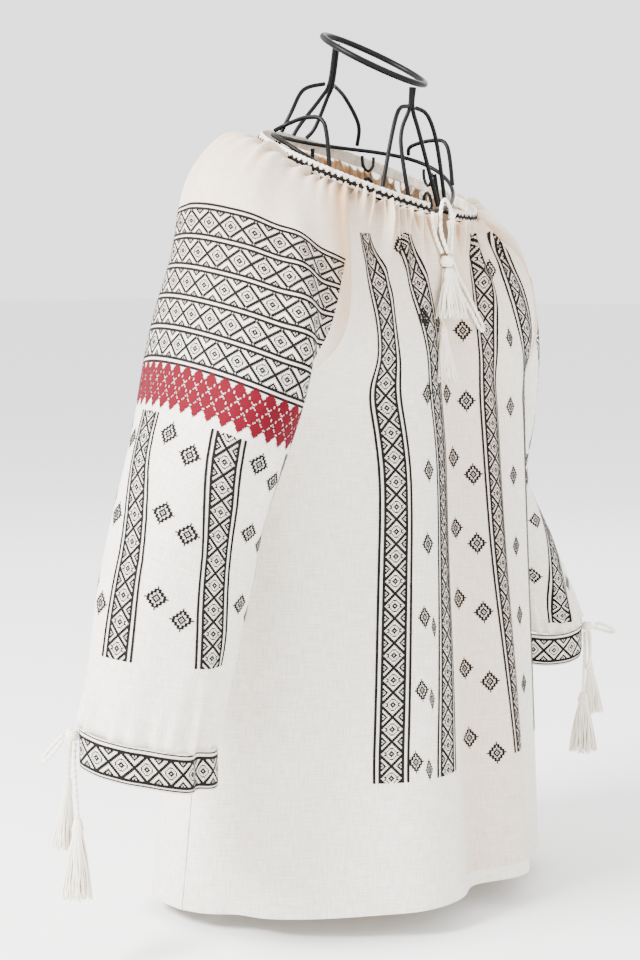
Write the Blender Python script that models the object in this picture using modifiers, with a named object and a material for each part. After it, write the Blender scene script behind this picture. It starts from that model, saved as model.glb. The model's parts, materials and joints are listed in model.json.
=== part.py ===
"""Romanian ie blouse, filled out on a black wire dress form.

Metres, +Z up. The wearer's front faces -Y and the wearer's left is +X. The origin is on the
floor, on the bar of the form's base, under the middle of the neckline.

Cloth is a wall made from an open sheet: a grid whose points are moved onto a surface, then
Solidify. A surface takes two numbers. "across" runs from -1 to 1 between two seams, and "down"
runs from 0 at the neckband through 1 at the underarm to 2 at the hem or the cuff. The sections
below are rows of a table, and rows between them are read from a smooth curve through the table.
"""

import math

import bmesh
import bpy
import numpy as np
from mathutils import Vector

# ---------------------------------------------------------------- driving sizes

WALL = 0.0012  # cloth with its seam turnings
SEAM = 0.0012  # between two cut edges that are sewn together
AIR = 0.0004  # between two solids that touch

NECK_HALF_WIDTH = 0.125
NECK_HALF_DEPTH = 0.080
NECK_HEIGHT = 0.6540
NECK_TILT = 0.407  # rise of the neckline towards the back, per metre of depth
HANG = -0.13  # the shoulders hang askew: rise towards the wearer's left, per metre of width

BAND_HEIGHT = 0.0095
BAND_LEAN = 0.30  # how far the neckband leans in, per metre of height

SLIT_OPEN = 0.125  # half the slit's opening at the neck, as a share of the half front
SLIT_END = 0.36  # how far down the slit runs
SLIT_CLOSED = 0.0012  # half the width of the strip of cloth that joins the two sides of the front

CUFF_HEIGHT = 0.033
CUFF_LIFT = 0.0006  # the cuff sits this far outside the end of the sleeve

CORD = 0.0036  # twisted cord, across
WIRE = 0.0038  # the form's round wire, across
RING_WIRE = 0.0056  # its neck ring

BASE_CENTRE = 0.035  # the base ring's middle, behind the origin
BASE_RADIUS = 0.080
BASE_WIDTH = 0.012
BASE_THICK = 0.004

# A row for each section of a sleeve, with x counted outwards from the body. Inner and outer are
# the points nearest to and farthest from the body, lateral is half the section from front to
# back, and spread is half the turn that the section makes: 180 closes it to a tube.
# down, inner x y z, outer x y z, lateral x y z, spread
SLEEVE_SECTIONS = {
    "right": (
        (0.00, 0.0991, -0.0028, 0.6529, 0.1249, -0.0035, 0.6526, 0.0054, 0.0798, 0.0325, 37.5),
        (0.25, 0.1225, -0.0080, 0.6400, 0.1620, -0.0080, 0.6580, 0.0030, 0.0862, 0.0280, 50.0),
        (0.50, 0.1525, -0.0180, 0.6040, 0.2130, -0.0240, 0.6320, 0.0027, 0.0888, 0.0240, 70.0),
        (0.75, 0.1750, -0.0280, 0.5420, 0.2540, -0.0480, 0.5680, 0.0015, 0.0850, 0.0250, 105.0),
        (1.00, 0.1866, 0.0000, 0.4550, 0.2970, -0.0660, 0.4850, 0.0000, 0.0780, 0.0240, 180.0),
        (1.35, 0.1980, -0.0100, 0.3600, 0.3160, -0.0280, 0.3850, 0.0000, 0.0640, 0.0180, 180.0),
        (1.70, 0.2140, -0.0100, 0.2850, 0.3310, -0.0120, 0.3020, 0.0000, 0.0580, 0.0130, 180.0),
        (2.00, 0.2330, -0.0040, 0.1900, 0.3420, -0.0020, 0.2060, 0.0000, 0.0520, 0.0080, 180.0),
    ),
    "left": (
        (0.00, 0.0991, -0.0028, 0.6529, 0.1249, -0.0035, 0.6526, 0.0054, 0.0798, 0.0325, 37.5),
        (0.25, 0.1205, -0.0020, 0.6400, 0.1570, 0.0040, 0.6560, 0.0120, 0.0840, 0.0275, 50.0),
        (0.50, 0.1480, -0.0030, 0.6060, 0.1970, 0.0120, 0.6220, 0.0180, 0.0850, 0.0240, 70.0),
        (0.75, 0.1720, 0.0000, 0.5400, 0.2350, 0.0350, 0.5600, 0.0140, 0.0780, 0.0220, 105.0),
        (1.00, 0.1866, 0.0000, 0.4550, 0.2680, 0.0640, 0.4780, 0.0100, 0.0660, 0.0200, 180.0),
        (1.35, 0.1990, 0.0160, 0.3750, 0.2720, 0.0560, 0.3950, 0.0040, 0.0560, 0.0160, 180.0),
        (1.70, 0.2100, 0.0060, 0.3000, 0.2900, 0.0180, 0.3150, 0.0000, 0.0500, 0.0130, 180.0),
        (2.00, 0.2330, -0.0060, 0.2140, 0.3180, -0.0060, 0.2280, 0.0000, 0.0440, 0.0080, 180.0),
    ),
}

# The middle of the front and of the back, and half the turn that the section makes.
# down, y, z, spread
FRONT_SECTIONS = (
    (0.00, -0.0800, 0.6214, 50.0),
    (0.25, -0.0850, 0.5880, 56.0),
    (0.50, -0.0910, 0.5500, 66.0),
    (0.75, -0.0960, 0.5030, 78.0),
    (1.00, -0.1010, 0.4550, 90.0),
    (1.25, -0.1100, 0.3500, 90.0),
    (1.60, -0.1270, 0.1900, 90.0),
    (2.00, -0.1420, 0.0260, 90.0),
)
BACK_SECTIONS = (
    (0.00, 0.0800, 0.6866, 55.0),
    (0.25, 0.0960, 0.6490, 60.0),
    (0.50, 0.1070, 0.5960, 68.0),
    (0.75, 0.1130, 0.5280, 78.0),
    (1.00, 0.1180, 0.4550, 90.0),
    (1.25, 0.1320, 0.3500, 90.0),
    (1.60, 0.1440, 0.1900, 90.0),
    (2.00, 0.1610, 0.0140, 90.0),
)

# The side seam below the underarm.
# down, x, y, z
SIDE_SECTIONS = (
    (1.00, 0.1854, 0.0000, 0.4550),
    (1.25, 0.1840, 0.0140, 0.3450),
    (1.60, 0.1870, 0.0380, 0.1850),
    (2.00, 0.1910, 0.0560, 0.0140),
)

# The body's seam stays this much nearer the middle than the sleeve's, where both meet.
UNDERARM_GAP = SIDE_SECTIONS[0][1] - SLEEVE_SECTIONS["right"][4][1]

# Folds that show from across a room. Across is where the fold's crest or trough runs, at its
# upper and its lower end, reach is its half width, and rise is out of the cloth, so a trough's
# is negative.
# across above, across below, reach, rise above, rise below, down from, down to
FRONT_FOLDS = (
    (0.045, 0.030, 0.115, -0.010, -0.026, 0.20, 2.30),
    (0.160, 0.180, 0.110, 0.003, 0.010, 0.45, 2.30),
    (-0.240, -0.270, 0.110, 0.003, 0.009, 0.45, 2.30),
    (0.260, 0.330, 0.060, -0.002, -0.002, 0.60, 2.30),
    (0.520, 0.580, 0.150, 0.006, 0.020, 0.60, 2.30),
    (-0.800, -0.820, 0.070, -0.003, -0.008, 1.05, 2.30),
)
BACK_FOLDS = (
    (-0.300, -0.340, 0.120, -0.004, -0.014, 0.40, 2.30),
    (-0.060, 0.020, 0.140, 0.003, 0.009, 0.50, 2.30),
    (0.330, 0.370, 0.110, -0.003, -0.013, 0.45, 2.30),
    (0.640, 0.700, 0.120, 0.003, 0.008, 0.90, 2.30),
    (-0.660, -0.720, 0.110, 0.003, 0.009, 0.85, 2.30),
)
SLEEVE_FOLDS = {
    "right": (
        (-0.560, -0.520, 0.110, 0.006, 0.003, 0.35, 1.40),
        (-0.760, -0.720, 0.100, -0.006, -0.004, 0.40, 1.50),
        (-0.300, -0.260, 0.120, -0.002, -0.005, 1.15, 2.40),
        (0.160, 0.120, 0.140, 0.001, 0.004, 1.10, 2.40),
        (-0.600, -0.560, 0.070, -0.001, -0.008, 1.60, 2.60),
        (0.600, 0.560, 0.120, -0.003, -0.005, 0.50, 2.40),
    ),
    "left": (
        (-0.540, -0.500, 0.110, 0.005, 0.003, 0.35, 1.40),
        (-0.740, -0.700, 0.100, -0.006, -0.004, 0.40, 1.50),
        (0.020, -0.020, 0.130, -0.002, -0.005, 1.15, 2.40),
        (0.420, 0.380, 0.120, 0.002, 0.004, 1.00, 2.40),
        (0.640, 0.600, 0.120, -0.003, -0.005, 0.50, 2.40),
    ),
}

# The direction from the middle of each cuff to its tie, from +X towards +Y.
TIE_TURN = {"right": math.radians(130.0), "left": math.radians(-42.0)}


# ---------------------------------------------------------------- smooth tables


def smooth_row(table, down):
    """The table's columns at one or many values of its first, on a curve through its rows."""
    rows = np.array(table, float)
    knots = rows[:, 0]
    values = rows[:, 1:]
    slopes = np.gradient(values, knots, axis=0)
    down = np.atleast_1d(np.asarray(down, float))
    i = np.clip(np.searchsorted(knots, down, side="right") - 1, 0, len(knots) - 2)
    span = (knots[i + 1] - knots[i])[:, None]
    t = ((down - knots[i])[:, None]) / span
    start = (2 * t**3 - 3 * t**2 + 1) * values[i]
    end = (3 * t**2 - 2 * t**3) * values[i + 1]
    leave = (t**3 - 2 * t**2 + t) * span * slopes[i]
    arrive = (t**3 - t**2) * span * slopes[i + 1]
    return start + end + leave + arrive


def smooth_step(low, high, value):
    t = np.clip((value - low) / (high - low), 0.0, 1.0)
    return t * t * (3 - 2 * t)


def fold_rise(folds, across, down):
    """How far the folds stand out of the cloth. They end before the seams."""
    rise = np.zeros(np.broadcast(across, down).shape)
    for above, below, reach, rise_above, rise_below, first, last in folds:
        share = np.clip((down - first) / (2.0 - first), 0.0, 1.0)
        middle = above + (below - above) * share
        height = rise_above + (rise_below - rise_above) * share
        fade = smooth_step(first, first + 0.35, down) * (1 - smooth_step(last - 0.35, last, down))
        rise += height * fade * np.exp(-(((across - middle) / reach) ** 2))
    return rise * (1 - smooth_step(0.86, 1.0, np.abs(across)))


def pushed_out(surface, folds, across, down):
    """The surface with its folds, each point moved along the surface's own normal."""
    step = 1e-4
    point = surface(across, down)
    along = surface(across + step, down) - surface(across - step, down)
    fall = surface(across, down - step) - surface(across, down + step)
    normal = np.cross(along, fall)
    normal /= np.linalg.norm(normal, axis=-1, keepdims=True) + 1e-12
    return point + normal * fold_rise(folds, across, down)[..., None]


# ---------------------------------------------------------------- surfaces


def hung(point, down):
    """The point with the shoulders' slant, which dies out above the underarm."""
    slant = HANG * (1 - smooth_step(0.0, 0.85, down)) * point[..., 0]
    return point + slant[..., None] * np.array([0.0, 0.0, 1.0])


def neck_point(turn):
    """A point on the neckline, turn 0 at the front and a quarter turn at the wearer's left."""
    x = NECK_HALF_WIDTH * np.sin(turn)
    y = -NECK_HALF_DEPTH * np.cos(turn)
    return hung(np.stack([x, y, NECK_HEIGHT + NECK_TILT * y], axis=-1), 0.0)


def sleeve_points(side, across, down):
    """A sleeve, x counted outwards: across is -1 at its front seam and 1 at its back seam."""
    shape = np.broadcast(across, down).shape
    across = np.broadcast_to(across, shape).ravel()
    down = np.broadcast_to(down, shape).ravel()
    row = smooth_row(SLEEVE_SECTIONS[side], down)
    inner, outer, lateral = row[:, 0:3], row[:, 3:6], row[:, 6:9]
    spread = np.radians(np.minimum(row[:, 9], 180.0))
    turn = spread * across
    share = (np.cos(turn) - np.cos(spread)) / (1 - np.cos(spread))
    point = inner + lateral * np.sin(turn)[:, None] + (outer - inner) * share[:, None]
    return point.reshape(shape + (3,))


def sleeve_surface(side):
    """The named sleeve. The wearer's right one is mirrored, and read from back to front."""

    def surface(across, down):
        if side == "left":
            return hung(sleeve_points(side, across, down), down)
        return hung(sleeve_points(side, -across, down) * np.array([-1.0, 1.0, 1.0]), down)

    return surface


def sleeve_with_folds(side):
    folds = SLEEVE_FOLDS[side]
    if side == "right":
        folds = [(-row[0], -row[1]) + row[2:] for row in folds]
    return lambda across, down: pushed_out(sleeve_surface(side), folds, across, down)


def seam_point(side, edge, down):
    """The raglan seam down to the underarm, then the side seam. Edge is -1 front, 1 back."""
    above = sleeve_points(side, np.full(down.shape, float(edge)), np.minimum(down, 1.0))
    below = smooth_row(SIDE_SECTIONS, np.maximum(down, 1.0))
    point = np.where((down < 1.0)[:, None], above, below)
    drift = smooth_step(0.5, 0.9, np.minimum(down, 1.0)) * (down < 1.0)
    point[:, 0] += drift * UNDERARM_GAP
    return point


def half_body(sections, edge, sign, across, down):
    """The front or the back: an arc from seam to seam through the middle line."""
    shape = np.broadcast(across, down).shape
    across = np.broadcast_to(across, shape).ravel()
    down = np.broadcast_to(down, shape).ravel()
    row = smooth_row(sections, down)
    on_left = (across * sign > 0)[:, None]
    seam = np.where(on_left, seam_point("left", edge, down), seam_point("right", edge, down))
    spread = np.radians(np.minimum(row[:, 2], 90.0))
    turn = spread * across
    share = (1 - np.cos(turn)) / (1 - np.cos(spread))
    x = sign * seam[:, 0] * np.sin(turn) / np.sin(spread)
    y = row[:, 0] + (seam[:, 1] - row[:, 0]) * share
    z = row[:, 1] + (seam[:, 2] - row[:, 1]) * share
    point = np.stack([x, y, z], axis=-1).reshape(shape + (3,))
    return hung(point, np.broadcast_to(down.reshape(shape), shape))


def front_surface(across, down):
    """The front with its slit, whose two sides spread apart towards the neck."""
    opening = SLIT_OPEN * np.clip(1 - down / SLIT_END, 0.0, 1.0)
    spread = np.sign(across) * opening + across * (1 - opening)
    return half_body(FRONT_SECTIONS, -1, 1.0, spread, down)


def back_surface(across, down):
    return half_body(BACK_SECTIONS, 1, -1.0, across, down)


def front_with_folds(across, down):
    return pushed_out(front_surface, FRONT_FOLDS, across, down)


def back_with_folds(across, down):
    return pushed_out(back_surface, BACK_FOLDS, across, down)


def neckband_surface(across, down):
    """The band that the gathers are sewn into, from one edge of the slit round to the other."""
    slit_turn = SLIT_OPEN * math.radians(FRONT_SECTIONS[0][3])
    turn = math.pi + across * (math.pi - slit_turn)
    foot = neck_point(turn)
    height = BAND_HEIGHT * (1 - down) + SEAM
    inward = foot * np.array([-1.0, -1.0, 0.0])
    inward /= np.linalg.norm(inward, axis=-1, keepdims=True)
    tilted_up = np.array([0.0, -NECK_TILT, 1.0]) / math.hypot(1.0, NECK_TILT)
    way = tilted_up + inward * BAND_LEAN
    return foot + way * np.broadcast_to(height, foot.shape[:-1])[..., None]


def cuff_surface(side):
    """The cuff round the end of a sleeve, open by a slit behind its tie."""
    sleeve = sleeve_with_folds(side)
    end = sleeve_surface(side)(np.array([0.0, 1.0]), np.array([2.0, 2.0]))
    centre = end.mean(axis=0)
    turns = np.linspace(-1.0, 1.0, 721)
    rim = sleeve(turns, np.full(turns.shape, 2.0))
    angles = np.unwrap(np.arctan2(rim[:, 1] - centre[1], rim[:, 0] - centre[0]))
    slit = 0.0016 / 0.05
    first = TIE_TURN[side] + slit
    last = TIE_TURN[side] + 2 * math.pi - slit

    def surface(across, down):
        shape = np.broadcast(across, down).shape
        across = np.broadcast_to(across, shape).ravel()
        drop = np.broadcast_to(down, shape).ravel() * CUFF_HEIGHT
        angle = first + (last - first) * (across + 1) / 2
        low, high = min(angles[0], angles[-1]), max(angles[0], angles[-1])
        wrapped = (angle - low) % (2 * math.pi) + low
        order = np.argsort(angles)
        point = np.stack(
            [np.interp(np.minimum(wrapped, high), angles[order], rim[order, k]) for k in range(3)],
            axis=-1,
        )
        point[:, 2] -= drop
        outward = point - centre
        outward[:, 2] = 0
        outward /= np.linalg.norm(outward, axis=-1, keepdims=True)
        return (point + outward * CUFF_LIFT).reshape(shape + (3,))

    return surface


# ---------------------------------------------------------------- making objects


def clear_scene():
    for thing in list(bpy.data.objects):
        bpy.data.objects.remove(thing, do_unlink=True)


def material(name, colour, roughness, metallic=0.0):
    made = bpy.data.materials.new(name)
    made.use_nodes = True
    shader = made.node_tree.nodes["Principled BSDF"]
    shader.inputs["Base Color"].default_value = (*colour, 1.0)
    shader.inputs["Roughness"].default_value = roughness
    shader.inputs["Metallic"].default_value = metallic
    made.diffuse_color = (*colour, 1.0)
    return made


def collection(name):
    made = bpy.data.collections.new(name)
    bpy.context.scene.collection.children.link(made)
    return made


def add_object(name, data, home, finish):
    thing = bpy.data.objects.new(name, data)
    home.objects.link(thing)
    data.materials.append(finish)
    return thing


def even_levels(stops, counts):
    """Values from the first stop to the last, with a count of equal steps between each two."""
    levels = [stops[0]]
    for low, high, count in zip(stops, stops[1:], counts):
        levels += [low + (high - low) * (i + 1) / count for i in range(count)]
    return levels


def cloth_sheet(name, surface, columns, levels, home, finish, split=0.0, open_to=0.0):
    """A wall of cloth from a surface. Its edges stop half a seam short at both sides.

    With a split, the middle column of faces is that narrow, and it is left out above open_to.
    """
    bm = bmesh.new()
    bmesh.ops.create_grid(bm, x_segments=columns, y_segments=len(levels) - 1, size=0.5)
    column = np.array([round((v.co.x + 0.5) * columns) for v in bm.verts])
    level = np.array([round((0.5 - v.co.y) * (len(levels) - 1)) for v in bm.verts])
    down = np.array(levels)[level]
    if split:
        half = (columns - 1) / 2
        side = np.where(column <= half, -1.0, 1.0)
        share = np.where(column <= half, half - column, column - half - 1) / half
        across = side * (split + (1 - split) * share)
    else:
        across = column * 2.0 / columns - 1
    edge = np.abs(across) > 1 - 1e-9
    length = np.linalg.norm(surface(np.sign(across) * 0.999, down) - surface(np.sign(across), down), axis=-1)
    trim = np.where(edge, 0.001 * (SEAM / 2) / np.maximum(length, 1e-7), 0.0)
    across = across * (1 - trim)
    points = surface(across, down)
    for vert, point in zip(bm.verts, points):
        vert.co = point
    if split:
        bm.verts.index_update()
        middle = [
            face
            for face in bm.faces
            if {column[v.index] for v in face.verts} == {int(half), int(half) + 1}
            and max(down[v.index] for v in face.verts) <= open_to + 1e-9
        ]
        bmesh.ops.delete(bm, geom=middle, context="FACES")
    mesh = bpy.data.meshes.new(name)
    bm.to_mesh(mesh)
    bm.free()
    thing = add_object(name, mesh, home, finish)
    mesh.shade_smooth()
    mesh.set_sharp_from_angle(angle=math.radians(50))
    wall = thing.modifiers.new("wall", "SOLIDIFY")
    wall.thickness = WALL
    wall.offset = -1.0
    return thing


def through(points, spacing, closed=False):
    """Points along one smooth curve through the given ones, about a spacing apart."""
    given = [Vector(p) for p in points]
    count = len(given)
    legs = count if closed else count - 1
    made = []
    for leg in range(legs):
        if closed:
            near = [given[(leg + k - 1) % count] for k in range(4)]
        else:
            near = [given[min(max(leg + k - 1, 0), count - 1)] for k in range(4)]
        before, start, end, after = near
        steps = max(1, round((end - start).length / spacing))
        for i in range(steps):
            t = i / steps
            made.append(
                0.5
                * (
                    2 * start
                    + (end - before) * t
                    + (2 * before - 5 * start + 4 * end - after) * t**2
                    + (3 * start - before - 3 * end + after) * t**3
                )
            )
    if not closed:
        made.append(given[-1])
    return made


def tube(name, points, width, spacing, home, finish, closed=False, sides=2):
    """A round wire or cord along a smooth curve."""
    curve = bpy.data.curves.new(name, "CURVE")
    curve.dimensions = "3D"
    curve.bevel_depth = width / 2
    curve.bevel_resolution = sides
    curve.use_fill_caps = not closed
    route = through(points, spacing, closed)
    spline = curve.splines.new("POLY")
    spline.points.add(len(route) - 1)
    for spot, point in zip(spline.points, route):
        spot.co = (*point, 1.0)
    spline.use_cyclic_u = closed
    return add_object(name, curve, home, finish)


def turned(name, top, way, profile, segments, home, finish, flat=1.0):
    """A turned solid hung from its top point, thinner by flat from front to back.

    The profile is (distance down, radius).
    """
    bm = bmesh.new()
    rings = []
    for distance, radius in profile:
        ring = bmesh.ops.create_circle(bm, cap_ends=False, segments=segments, radius=radius)
        bmesh.ops.translate(bm, verts=ring["verts"], vec=(0, 0, -distance))
        rings.append(ring["verts"])
    for upper, lower in zip(rings, rings[1:]):
        edges = {e for v in upper + lower for e in v.link_edges}
        rim = [e for e in edges if all(v in upper for v in e.verts) or all(v in lower for v in e.verts)]
        bmesh.ops.bridge_loops(bm, edges=rim)
    for end in (rings[0], rings[-1]):
        bm.faces.new(end)
    bmesh.ops.recalc_face_normals(bm, faces=bm.faces)
    bmesh.ops.scale(bm, verts=bm.verts, vec=(1.0, flat, 1.0))
    tilt = Vector((0, 0, -1)).rotation_difference(Vector(way).normalized())
    bmesh.ops.rotate(bm, verts=bm.verts, cent=(0, 0, 0), matrix=tilt.to_matrix())
    bmesh.ops.translate(bm, verts=bm.verts, vec=top)
    mesh = bpy.data.meshes.new(name)
    bm.to_mesh(mesh)
    bm.free()
    mesh.shade_smooth()
    mesh.set_sharp_from_angle(angle=math.radians(50))
    return add_object(name, mesh, home, finish)


# ---------------------------------------------------------------- the blouse


def make_cloth(home, cotton):
    levels = even_levels((0.0, SLIT_END, 1.0, 2.0), (3, 6, 10))
    levels[0] = SEAM / 0.45
    cloth_sheet("front_panel", front_with_folds, 27, levels, home, cotton, SLIT_CLOSED / 0.19, SLIT_END)
    cloth_sheet("back_panel", back_with_folds, 22, levels, home, cotton)
    for side in ("right", "left"):
        cloth_sheet("sleeve_" + side, sleeve_with_folds(side), 24, levels, home, cotton)
        cloth_sheet("cuff_" + side, cuff_surface(side), 28, [0.02, 1.0], home, cotton)
    cloth_sheet("neckband", neckband_surface, 48, [0.0, 1.0], home, cotton)


# ---------------------------------------------------------------- cords and tassels

TASSEL_PROFILE = ((0.0, 0.20), (0.04, 0.30), (0.12, 0.34), (0.17, 0.28), (0.45, 0.62), (1.0, 1.0))
BEAD_PROFILE = ((0.0, 0.55), (0.2, 0.95), (0.5, 1.0), (0.8, 0.95), (1.0, 0.55))
KNOT_HEIGHT = 0.010
NECK_KNOT = (-0.0045, 0.5830, 0.0075)
NECK_KNOT_RADIUS = 0.0060

# Places on the front of the blouse are x, z, and how far the cord's middle stands off the cloth.
NECK_ROUTES = {
    "neck_cord_right": (
        (-0.0160, 0.6260, 0.0050),
        (-0.0155, 0.6160, 0.0034),
        (-0.0125, 0.6030, 0.0030),
        (-0.0085, 0.5902, 0.0052),
    ),
    "neck_cord_left": (
        (0.0160, 0.6260, 0.0050),
        (0.0145, 0.6160, 0.0034),
        (0.0085, 0.6030, 0.0030),
        (0.0006, 0.5902, 0.0052),
    ),
    "neck_loop_upper": (
        (-0.0062, 0.5902, 0.0098),
        (-0.0100, 0.6080, 0.0092),
        (-0.0095, 0.6260, 0.0090),
        (-0.0015, 0.6370, 0.0085),
        (0.0070, 0.6260, 0.0090),
        (0.0045, 0.6080, 0.0092),
        (-0.0018, 0.5902, 0.0098),
    ),
    "neck_loop_lower": (
        (0.0050, 0.5820, 0.0080),
        (0.0150, 0.5720, 0.0050),
        (0.0280, 0.5550, 0.0032),
        (0.0400, 0.5330, 0.0028),
        (0.0445, 0.5230, 0.0028),
        (0.0395, 0.5235, 0.0028),
        (0.0310, 0.5390, 0.0030),
        (0.0200, 0.5570, 0.0040),
        (0.0085, 0.5730, 0.0070),
    ),
    "neck_cord_lower": (
        (-0.0045, 0.5766, 0.0040),
        (-0.0050, 0.5600, 0.0028),
        (-0.0070, 0.5420, 0.0028),
        (-0.0080, 0.5272, 0.0052),
    ),
}

# name, x, z and stand-off of the top and of the fringe, half width at the fringe
NECK_TASSELS = (
    ("neck_tassel_upper", (-0.0045, 0.5766, 0.0104), (-0.0065, 0.5310, 0.0154), 0.0165),
    ("neck_tassel_lower", (-0.0080, 0.5266, 0.0060), (-0.0130, 0.4750, 0.0095), 0.0100),
)
TASSEL_FLAT = 0.45  # how thick a tassel that lies on cloth is, as a share of its width


def off_front(x, z, off):
    """The point that stands off the front of the blouse at a given x and z."""
    across, down = x / 0.19, 1.0
    for _ in range(12):
        spot = front_with_folds(np.array([across]), np.array([down]))[0]
        side = front_with_folds(np.array([across + 1e-3]), np.array([down]))[0]
        below = front_with_folds(np.array([across]), np.array([down + 1e-3]))[0]
        across += 1e-3 * (x - spot[0]) / (side[0] - spot[0])
        down += 1e-3 * (z - spot[2]) / (below[2] - spot[2])
        down = max(down, 0.0)
    return Vector((x, spot[1] - off, z))


def make_neck_tie(home, yarn):
    """Two cord ends come over the band beside the slit, and meet in a knot with two loops."""
    x, z, off = NECK_KNOT
    knot = [(KNOT_HEIGHT * share, NECK_KNOT_RADIUS * size) for share, size in BEAD_PROFILE]
    top = off_front(x, z, off) + Vector((0, 0, KNOT_HEIGHT / 2))
    turned("neck_knot", top, (0, 0, -1), knot, 12, home, yarn)
    for name, route in NECK_ROUTES.items():
        tube(name, [off_front(*point) for point in route], CORD, 0.009, home, yarn)
    for name, start, end, half in NECK_TASSELS:
        top, tip = off_front(*start), off_front(*end)
        length = (tip - top).length
        profile = [(share * length, size * half) for share, size in TASSEL_PROFILE]
        turned(name, top, tip - top, profile, 12, home, yarn, TASSEL_FLAT)


CUFF_KNOT_RADIUS = 0.0055
CUFF_KNOT_OUT = 0.0085


def cuff_tie_frame(side):
    """The tie's place on its cuff: the point on the cuff's outside, and the way out of it."""
    surface = cuff_surface(side)
    ends = surface(np.array([-1.0, 1.0]), np.array([0.35, 0.35]))
    out = Vector((math.cos(TIE_TURN[side]), math.sin(TIE_TURN[side]), 0))
    return Vector(ends.mean(axis=0)), out


def make_cuff_tie(side, home, yarn):
    spot, out = cuff_tie_frame(side)
    along = Vector((-out.y, out.x, 0))
    down = Vector((0, 0, -1))

    def at(outward, sideways, fall):
        return spot + out * outward + along * sideways + down * fall

    knot = [(KNOT_HEIGHT * share, CUFF_KNOT_RADIUS * size) for share, size in BEAD_PROFILE]
    turned("cuff_knot_" + side, at(CUFF_KNOT_OUT, 0, -KNOT_HEIGHT / 2), down, knot, 12, home, yarn)
    loops = CUFF_LOOPS[side]
    for name, route in loops.items():
        tube(name + "_" + side, [at(*p) for p in route], CORD, 0.009, home, yarn)
    for name, top, way, length, half in CUFF_TASSELS[side]:
        profile = [(share * length, size * half) for share, size in TASSEL_PROFILE]
        lean = out * way[0] + along * way[1] + down
        turned(name + "_" + side, at(*top), lean, profile, 12, home, yarn)


# Routes in the tie's own frame: outward from the cuff, sideways along it, and down.
CUFF_LOOPS = {
    "right": {
        "cuff_loop_upper": (
            (0.0162, -0.0021, 0.0000),
            (0.0200, -0.0035, 0.0040),
            (0.0290, -0.0045, 0.0140),
            (0.0330, -0.0025, 0.0205),
            (0.0310, 0.0015, 0.0210),
            (0.0240, 0.0035, 0.0140),
            (0.0162, 0.0025, 0.0040),
        ),
        "cuff_cord_long": (
            (0.0064, 0.0021, 0.0062),
            (0.0070, 0.0040, 0.0200),
            (0.0060, 0.0050, 0.0400),
            (0.0050, 0.0040, 0.0600),
            (0.0045, 0.0030, 0.0688),
        ),
        "cuff_cord_short": (
            (0.0106, -0.0021, 0.0062),
            (0.0115, -0.0045, 0.0180),
            (0.0130, -0.0060, 0.0300),
            (0.0130, -0.0065, 0.0378),
        ),
    },
    "left": {
        "cuff_loop_upper": (
            (0.0162, -0.0021, -0.0015),
            (0.0210, -0.0030, -0.0025),
            (0.0300, -0.0040, 0.0010),
            (0.0365, -0.0020, 0.0055),
            (0.0350, 0.0020, 0.0080),
            (0.0270, 0.0040, 0.0060),
            (0.0162, 0.0030, 0.0025),
        ),
        "cuff_loop_lower": (
            (0.0106, -0.0024, 0.0062),
            (0.0095, -0.0085, 0.0160),
            (0.0080, -0.0135, 0.0300),
            (0.0060, -0.0115, 0.0410),
            (0.0048, -0.0075, 0.0400),
            (0.0052, -0.0050, 0.0250),
            (0.0064, -0.0022, 0.0062),
        ),
        "cuff_cord_long": (
            (0.0064, 0.0021, 0.0062),
            (0.0070, 0.0030, 0.0250),
            (0.0060, 0.0010, 0.0480),
            (0.0050, 0.0000, 0.0698),
        ),
        "cuff_cord_short": (
            (0.0106, 0.0024, 0.0062),
            (0.0125, 0.0065, 0.0150),
            (0.0140, 0.0085, 0.0280),
            (0.0140, 0.0085, 0.0397),
        ),
    },
}

# name, top in the tie's frame, lean outward and sideways, length, half width at the fringe
CUFF_TASSELS = {
    "right": (
        ("cuff_tassel_long", (0.0045, 0.0030, 0.0694), (0.02, 0.04), 0.070, 0.0125),
        ("cuff_tassel_short", (0.0130, -0.0065, 0.0384), (0.10, -0.08), 0.062, 0.0090),
    ),
    "left": (
        ("cuff_tassel_long", (0.0050, 0.0000, 0.0704), (0.0, -0.05), 0.064, 0.0140),
        ("cuff_tassel_short", (0.0140, 0.0085, 0.0404), (0.12, 0.12), 0.058, 0.0100),
    ),
}


# ---------------------------------------------------------------- the wire form

RING_CENTRE = (0.0, -0.006, 0.763)
RING_RADIUS = 0.049
RING_TILT = math.radians(27.0)
RING_HANG = -0.123  # the neck ring's slant: rise towards the wearer's left, per metre of width
FORM_HANG = -0.06  # the shoulder hoop's and the arches' slant

# Rise is from the middle height to the back, and saddle is from it to both sides.
# name, half width, half depth, middle y, height, rise, saddle, slant
HOOPS = (
    ("form_hoop_shoulder", 0.105, 0.062, 0.004, 0.6680, 0.0320, 0.0085, FORM_HANG),
    ("form_hoop_bust", 0.145, 0.078, 0.006, 0.5000, 0.0, 0.0, 0.0),
    ("form_hoop_waist", 0.112, 0.072, 0.010, 0.3600, 0.0, 0.0, 0.0),
    ("form_hoop_hip", 0.135, 0.082, 0.014, 0.2000, 0.0, 0.0, 0.0),
)


def hoop_point(hoop, turn, inside=0.0, above=0.0):
    """A point on a hoop's middle line, turn 0 at the front, or one that far inside or above it."""
    name, half_width, half_depth, middle, height, rise, saddle, slant = hoop
    x = (half_width - inside) * math.sin(turn)
    y = middle - (half_depth - inside) * math.cos(turn)
    z = height - rise * math.cos(turn) - saddle * math.cos(2 * turn) + slant * x
    return Vector((x, y, z + above))


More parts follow.
